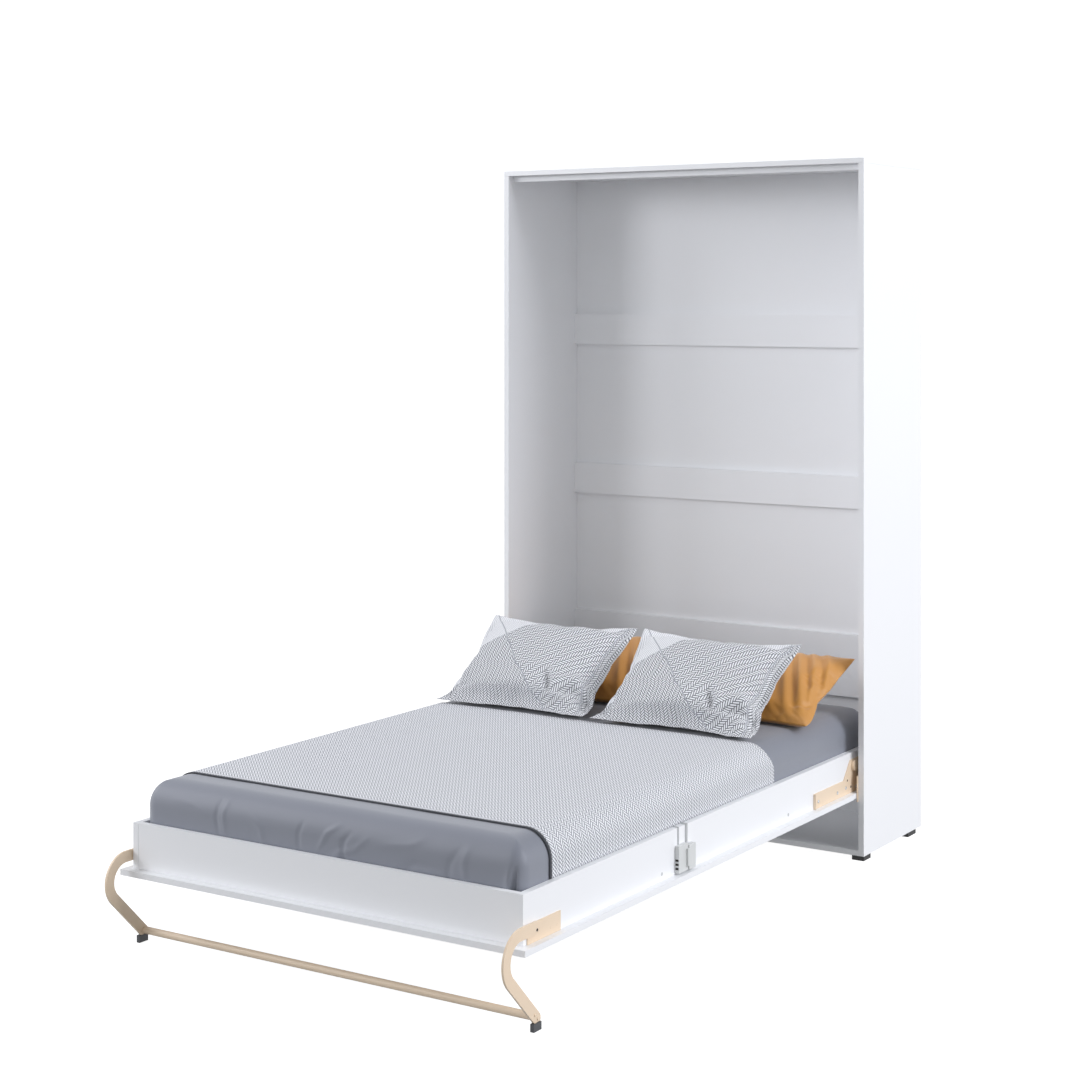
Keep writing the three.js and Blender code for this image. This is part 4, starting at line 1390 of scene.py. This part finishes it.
class WovenPillow(Pillow):
    """A pillow in patchwork cloth with a flat sewn flange and crumpled lower corners."""

    WIDTH = 555.0
    HEIGHT = 420.0

    def crease(self, shape: np.ndarray, flat: np.ndarray, front: np.ndarray) -> np.ndarray:
        """Crumple the lower corners, by paths given in millimetres on the cloth.

        Args:
            shape: Points about the pillow's own centre, changed in place.
            flat: Cloth coordinates of the points.
            front: Which points are on the front panel.

        Returns:
            The same points, moved.
        """
        shape = super().crease(shape, flat, front)
        w, h = self.width, self.height
        places = flat * 1000
        runs = [
            ([(0.66 * w, 0.36 * h), (0.7 * w, 0.28 * h), (0.72 * w, 0.17 * h)], 8, -15.0),
            ([(0.69 * w, 0.38 * h), (0.74 * w, 0.29 * h), (0.765 * w, 0.2 * h)], 9, 9.0),
            ([(0.62 * w, 0.3 * h), (0.665 * w, 0.22 * h), (0.68 * w, 0.13 * h)], 10, 7.0),
            ([(0.74 * w, 0.2 * h), (0.86 * w, 0.235 * h), (1.0 * w, 0.2 * h)], 9, -19.0),
            ([(0.77 * w, 0.3 * h), (0.88 * w, 0.32 * h), (0.99 * w, 0.3 * h)], 17, 13.0),
            ([(0.8 * w, 0.14 * h), (0.89 * w, 0.1 * h), (1.0 * w, 0.05 * h)], 11, 15.0),
            ([(0.76 * w, 0.12 * h), (0.82 * w, 0.05 * h), (0.86 * w, 0.0)], 8, -8.0),
            ([(0.02 * w, 0.97 * h), (0.1 * w, 0.86 * h), (0.19 * w, 0.72 * h)], 9, 4.0),
            ([(0.0, 0.19 * h), (0.09 * w, 0.16 * h), (0.2 * w, 0.19 * h)], 9, -12.0),
            ([(0.0, 0.27 * h), (0.1 * w, 0.26 * h), (0.2 * w, 0.3 * h)], 14, 6.0),
            ([(0.0, 0.1 * h), (0.06 * w, 0.07 * h), (0.15 * w, 0.05 * h)], 9, 8.0),
            ([(0.88 * w, 0.78 * h), (0.83 * w, 0.55 * h), (0.86 * w, 0.35 * h)], 14, -4.0),
            ([(0.35 * w, 0.12 * h), (0.5 * w, 0.16 * h), (0.62 * w, 0.12 * h)], 16, -4.0),
        ]
        for path, width, rise in runs:
            shape[:, 2] += np.where(front, fold_line(places, path, width) * rise * MM, 0)
        return shape


class MustardPillow(Pillow):
    """A sateen pillow with slanting folds from its upper edge."""

    def crease(self, shape: np.ndarray, flat: np.ndarray, front: np.ndarray) -> np.ndarray:
        """Add long folds that run from the upper edge to the lower right corner.

        Args:
            shape: Points about the pillow's own centre, changed in place.
            flat: Cloth coordinates of the points.
            front: Which points are on the front panel.

        Returns:
            The same points, moved.
        """
        shape = super().crease(shape, flat, front)
        w, h = self.width, self.height
        places = flat * 1000
        runs = [
            ([(0.84 * w, 0.98 * h), (0.93 * w, 0.72 * h), (0.985 * w, 0.5 * h)], 10, 8.0),
            ([(0.76 * w, 0.97 * h), (0.88 * w, 0.6 * h), (0.965 * w, 0.28 * h)], 11, 9.0),
            ([(0.69 * w, 0.95 * h), (0.82 * w, 0.5 * h), (0.92 * w, 0.14 * h)], 11, 9.0),
            ([(0.61 * w, 0.9 * h), (0.75 * w, 0.45 * h), (0.85 * w, 0.08 * h)], 12, 8.0),
            ([(0.52 * w, 0.85 * h), (0.66 * w, 0.4 * h), (0.76 * w, 0.06 * h)], 13, 7.0),
            ([(0.8 * w, 0.97 * h), (0.9 * w, 0.66 * h), (0.975 * w, 0.38 * h)], 7, -5.0),
            ([(0.73 * w, 0.96 * h), (0.85 * w, 0.55 * h), (0.94 * w, 0.2 * h)], 7, -6.0),
            ([(0.65 * w, 0.92 * h), (0.79 * w, 0.47 * h), (0.89 * w, 0.1 * h)], 7, -5.0),
            ([(0.86 * w, 0.2 * h), (0.93 * w, 0.24 * h), (0.99 * w, 0.34 * h)], 9, -7.0),
            ([(0.08 * w, 0.8 * h), (0.2 * w, 0.5 * h), (0.24 * w, 0.15 * h)], 13, 5.0),
        ]
        for path, width, rise in runs:
            shape[:, 2] += np.where(front, fold_line(places, path, width) * rise * MM, 0)
        return shape


@dataclass
class StrapBuckle:
    """The mattress strap's buckle on the right rail: a slotted body with a lever.

    Attributes:
        slots: Height of each slot's middle above the buckle's lower edge, in millimetres.
        low: Lowest corner of the solid it replaces.
        high: Highest corner of the solid it replaces.
    """

    slots: tuple = (13.0, 24.0, 35.0)
    low: Vector = field(default_factory=lambda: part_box("strap_buckle")[0])
    high: Vector = field(default_factory=lambda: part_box("strap_buckle")[1])

    def slab(
        self,
        name: str,
        low: Sequence[float],
        high: Sequence[float],
        finish: Finish,
        edge: float = 0.8,
    ) -> bpy.types.Object:
        """Make a rounded slab between two corners, in metres.

        Args:
            name: Piece name.
            low: Lowest corner.
            high: Highest corner.
            finish: Its finish.
            edge: Rounding, in millimetres.

        Returns:
            The slab, riding on the bed.
        """
        levels, depths, widths = (low[2], high[2]), (low[1], high[1]), (low[0], high[0])
        corners = [(x, y, z) for z in levels for y in depths for x in widths]
        faces = [(0, 2, 3, 1), (4, 5, 7, 6), (0, 1, 5, 4), (2, 6, 7, 3), (0, 4, 6, 2), (1, 3, 7, 5)]
        points = np.array(corners)
        piece = mesh_object(name, points, faces, finish, points[:, [1, 2]])
        soften_edges(piece, edge)
        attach(piece, "bed")
        return piece

    def build(self) -> None:
        """Model the body, lever and the strap's two strands, and dark slabs as painted shade in the slots.
        """
        x0, x1 = self.low.x, self.high.x
        y0, y1, z0, z1 = self.low.y, self.high.y, self.low.z, self.high.z
        top = (x0 + 0.013, y0 + 0.05, z1 - 0.006)
        body = self.slab("buckle_body", (x0, y0, z0), top, BUCKLE_PLASTIC, 1.5)
        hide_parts("strap_buckle")
        lever_low = (x0 + 0.001, y0 + 0.052, z0)
        self.slab("buckle_lever", lever_low, (x1 - 0.003, y1, z1 - 0.012), BUCKLE_PLASTIC, 1.8)
        bridge_low, bridge_high = (x0 + 0.002, y0 + 0.04, z0 + 0.012), (x1, y0 + 0.062, z1 - 0.02)
        self.slab("buckle_bridge", bridge_low, bridge_high, BUCKLE_PLASTIC, 1.4)
        # Each slot is a thin dark slab on the body: painted shade of the open slot.
        for k, rise in enumerate(self.slots):
            z = z0 + rise * MM
            slot_low = (x0 + 0.002, y0 - 0.0006, z - 0.003)
            slot_high = (x0 + 0.0115, y0 + 0.004, z + 0.003)
            self.slab(f"buckle_slot_shade_{k + 1}", slot_low, slot_high, PAINTED_HOLE_SHADE, 0.6)
        self.strands(z1)

    def strands(self, from_height: float) -> None:
        """Run two thin strands from the buckle up and over the rail.

        Args:
            from_height: Where they leave the buckle, in metres.
        """
        strap_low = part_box("mattress_strap")[0]
        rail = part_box("side_rail_right")[1]
        thick = 1.2 * MM
        for k, (y, wide) in enumerate(((self.low.y + 0.018, 0.006), (self.high.y - 0.026, 0.012))):
            x = rail.x + 0.0003
            z = rail.z + 0.0003
            outer = [(x + thick, from_height - 0.02), (x + thick, z + thick), (strap_low.x, z + thick)]
            inner = [(strap_low.x, z), (x, z), (x, from_height - 0.02)]
            loop = outer + inner
            points = [(a, yy, b) for yy in (y - wide / 2, y + wide / 2) for a, b in loop]
            n = len(loop)
            faces = [tuple(range(n))[::-1], tuple(range(n, 2 * n))]
            faces += [(i, (i + 1) % n, n + (i + 1) % n, n + i) for i in range(n)]
            arr = np.array(points)
            strand = mesh_object(f"strap_strand_{k + 1}", arr, faces, WEBBING, arr[:, [1, 2]])
            soften_edges(strand, 0.3, 2)
            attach(strand, "bed")
            if k == 0:
                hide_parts("mattress_strap")


@dataclass
class Bedding:
    """Mattress, spread, pillows and strap, in the order they are put on."""

    def pillows(self) -> list[Pillow]:
        """List the four pillows, back pair first."""
        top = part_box("mattress")[1].z
        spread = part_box("bedspread")[1].z
        soft = dict(finish=SATEEN, slot="mustard_fabric", rest=top)
        woven = dict(finish=PILLOW_CLOTH, slot="woven_fabric", rest=spread)
        plain = dict(width=560, height=390, thick=130)
        size = dict(width=WovenPillow.WIDTH, height=WovenPillow.HEIGHT, thick=158, flange=30.0)
        out: list[Pillow] = []
        for word, x, seed in (("left", -255, 5), ("right", 335, 6)):
            centre = (x * MM, depth(-113), top + 0.09)
            name = f"pillow_mustard_{word}"
            out.append(MustardPillow(name, tilt=26, centre=centre, seed=seed, **plain, **soft))
        for word, x, seed in (("left", -288, 7), ("right", 287, 8)):
            centre = (x * MM, depth(-375), top + 0.124)
            name = f"pillow_woven_{word}"
            out.append(WovenPillow(name, tilt=38, centre=centre, seed=seed, **size, **woven))
        return out

    def build(self) -> None:
        """Make every soft piece and give each pillow its own mesh."""
        Mattress().build()
        Bedspread().build()
        StrapBuckle().build()
        for pillow in self.pillows():
            piece = pillow.build()
            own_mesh(piece)


# ---- Stage ---------------------------------------------------------------------------
@dataclass
class Studio:
    """Camera, floor and soft lights.

    Attributes:
        lens: Focal length, in millimetres, on a 36 mm sensor.
        heading: Camera heading, in degrees.
        shift: Vertical shift of the lens.
        stand: Camera place across, in depth from the cabinet's front, and up, in millimetres.
        floor_half: Half the floor's side, in metres.
        floor_glow: Light the floor gives of itself.
        white: Level of the backdrop.
        ceiling: Level of the room above the backdrop.
        ground: Level of the light bounced from below.
        backdrop: Rises between which the backdrop fades in, stays, and fades out.
        lamps: Name, place, aim, size in metres and watts of each soft light.
    """

    lens: float = 69.78
    heading: float = 32.98
    shift: float = -0.2243
    stand: tuple[float, float, float] = (3355.85, -5978.37, 1743.66)
    floor_half: float = 150.0
    floor_glow: float = 0.92
    white: float = 1.1
    ceiling: float = 0.49
    ground: float = 0.15
    backdrop: tuple[float, float, float, float] = (-0.06, -0.03, 0.15, 0.2)
    lamps: tuple = (
        ("key_right", (7.2, 1.0, 4.1), (0.6, 0.0, 1.1), 3.4, 405),
        ("fill_left", (-4.2, -5.5, 3.2), (0.0, 0.6, 0.9), 2.2, 104),
        ("window_left", (-6.0, -2.5, 4.0), (0.0, 0.3, 0.9), 3.0, 195),
    )

    def camera(self) -> None:
        """Set up the camera, level and shifted down."""
        data = bpy.data.cameras.new("studio_camera")
        data.lens = self.lens
        data.sensor_width = 36.0
        data.shift_y = self.shift
        data.clip_end = 200.0
        made = bpy.data.objects.new("studio_camera", data)
        made.location = (self.stand[0] * MM, depth(self.stand[1]), self.stand[2] * MM)
        made.rotation_euler = (math.radians(90), 0, math.radians(self.heading))
        bpy.context.scene.collection.objects.link(made)
        bpy.context.scene.camera = made

    def floor(self) -> None:
        """Lay a wide white floor that glows a little, so that shadows on it stay faint."""
        name = "White studio floor, backlit acrylic"
        finish = Finish(name, colour="#a3a3a3", roughness=0.9, grain=30.0, relief=0.01, variation=0.0)
        surface = finish.material()
        shader = surface.node_tree.nodes["Principled BSDF"]
        shader.inputs["Emission Color"].default_value = linear("#ffffff")
        shader.inputs["Emission Strength"].default_value = self.floor_glow
        shader.inputs["Specular IOR Level"].default_value = 0.0
        side = self.floor_half
        points = np.array([(-side, -side, 0), (side, -side, 0), (side, side, 0), (-side, side, 0)])
        points[:, 2] -= 0.5 * MM
        piece = mesh_object("studio_floor", points, [(0, 1, 2, 3)], finish)
        # The room's lower half lights the bed instead, dimmer than so bright a floor would.
        piece.visible_diffuse = False

    def room(self) -> None:
        """Light the room evenly, with a white backdrop all round at eye level."""
        world = bpy.data.worlds.new("studio_room")
        world.use_nodes = True
        tree = world.node_tree
        maths = Sum(tree)
        way = add_node(tree, "ShaderNodeTexCoord").outputs["Generated"]
        rise = add_node(tree, "ShaderNodeSeparateXYZ", {0: way}).outputs[2]
        low, start, end, high = self.backdrop
        tone = maths.mix(maths.step(rise, low, start), self.grey(self.ground), self.grey(self.white))
        tone = maths.mix(maths.step(rise, end, high), tone, self.grey(self.ceiling))
        tree.links.new(tone, tree.nodes["Background"].inputs[0])
        bpy.context.scene.world = world

    def grey(self, level: float) -> tuple[float, float, float, float]:
        """Give the room's faintly cool light at a level."""
        return (level * 0.985, level, level * 1.025, 1.0)

    def area(
        self,
        name: str,
        place: Sequence[float],
        aim: Sequence[float],
        size: float,
        power: float,
        colour: str = "#f8f9ff",
    ) -> None:
        """Hang one square soft light.

        Args:
            name: Light name.
            place: Where it hangs, in metres.
            aim: What it points at, in metres.
            size: Side of its panel, in metres.
            power: Watts.
            colour: sRGB hex of its light.
        """
        data = bpy.data.lights.new(name, "AREA")
        data.size = size
        data.energy = power
        data.color = linear(colour)[:3]
        made = bpy.data.objects.new(name, data)
        made.location = place
        made.rotation_euler = (Vector(aim) - Vector(place)).to_track_quat("-Z", "Y").to_euler()
        bpy.context.scene.collection.objects.link(made)

    def build(self) -> None:
        """Set the camera, floor, room light and lamps."""
        self.camera()
        self.floor()
        self.room()
        for name, place, aim, size, power in self.lamps:
            self.area(name, place, aim, size, power)
        bpy.context.scene.view_settings.view_transform = "Standard"


def corners(box: tuple[Vector, Vector]) -> list[list[float]]:
    """Turn a box of two vectors into plain lists."""
    return [list(box[0]), list(box[1])]


def main() -> None:
    """Build every piece in order."""
    logging.basicConfig(level=logging.INFO, format="%(name)s: %(message)s")
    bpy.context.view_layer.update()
    steps: list[tuple[str, Callable[[], object]]] = [
        ("studio", Studio().build),
        ("cabinet", Cabinet().build),
        ("gas struts", GasStruts().build),
        ("bed frame", BedFrame().build),
        ("foot leg", FootLeg().build),
        ("bedding", Bedding().build),
    ]
    for label, build in steps:
        build()
        LOG.info("built %s", label)


if __name__ == "__main__":
    main()
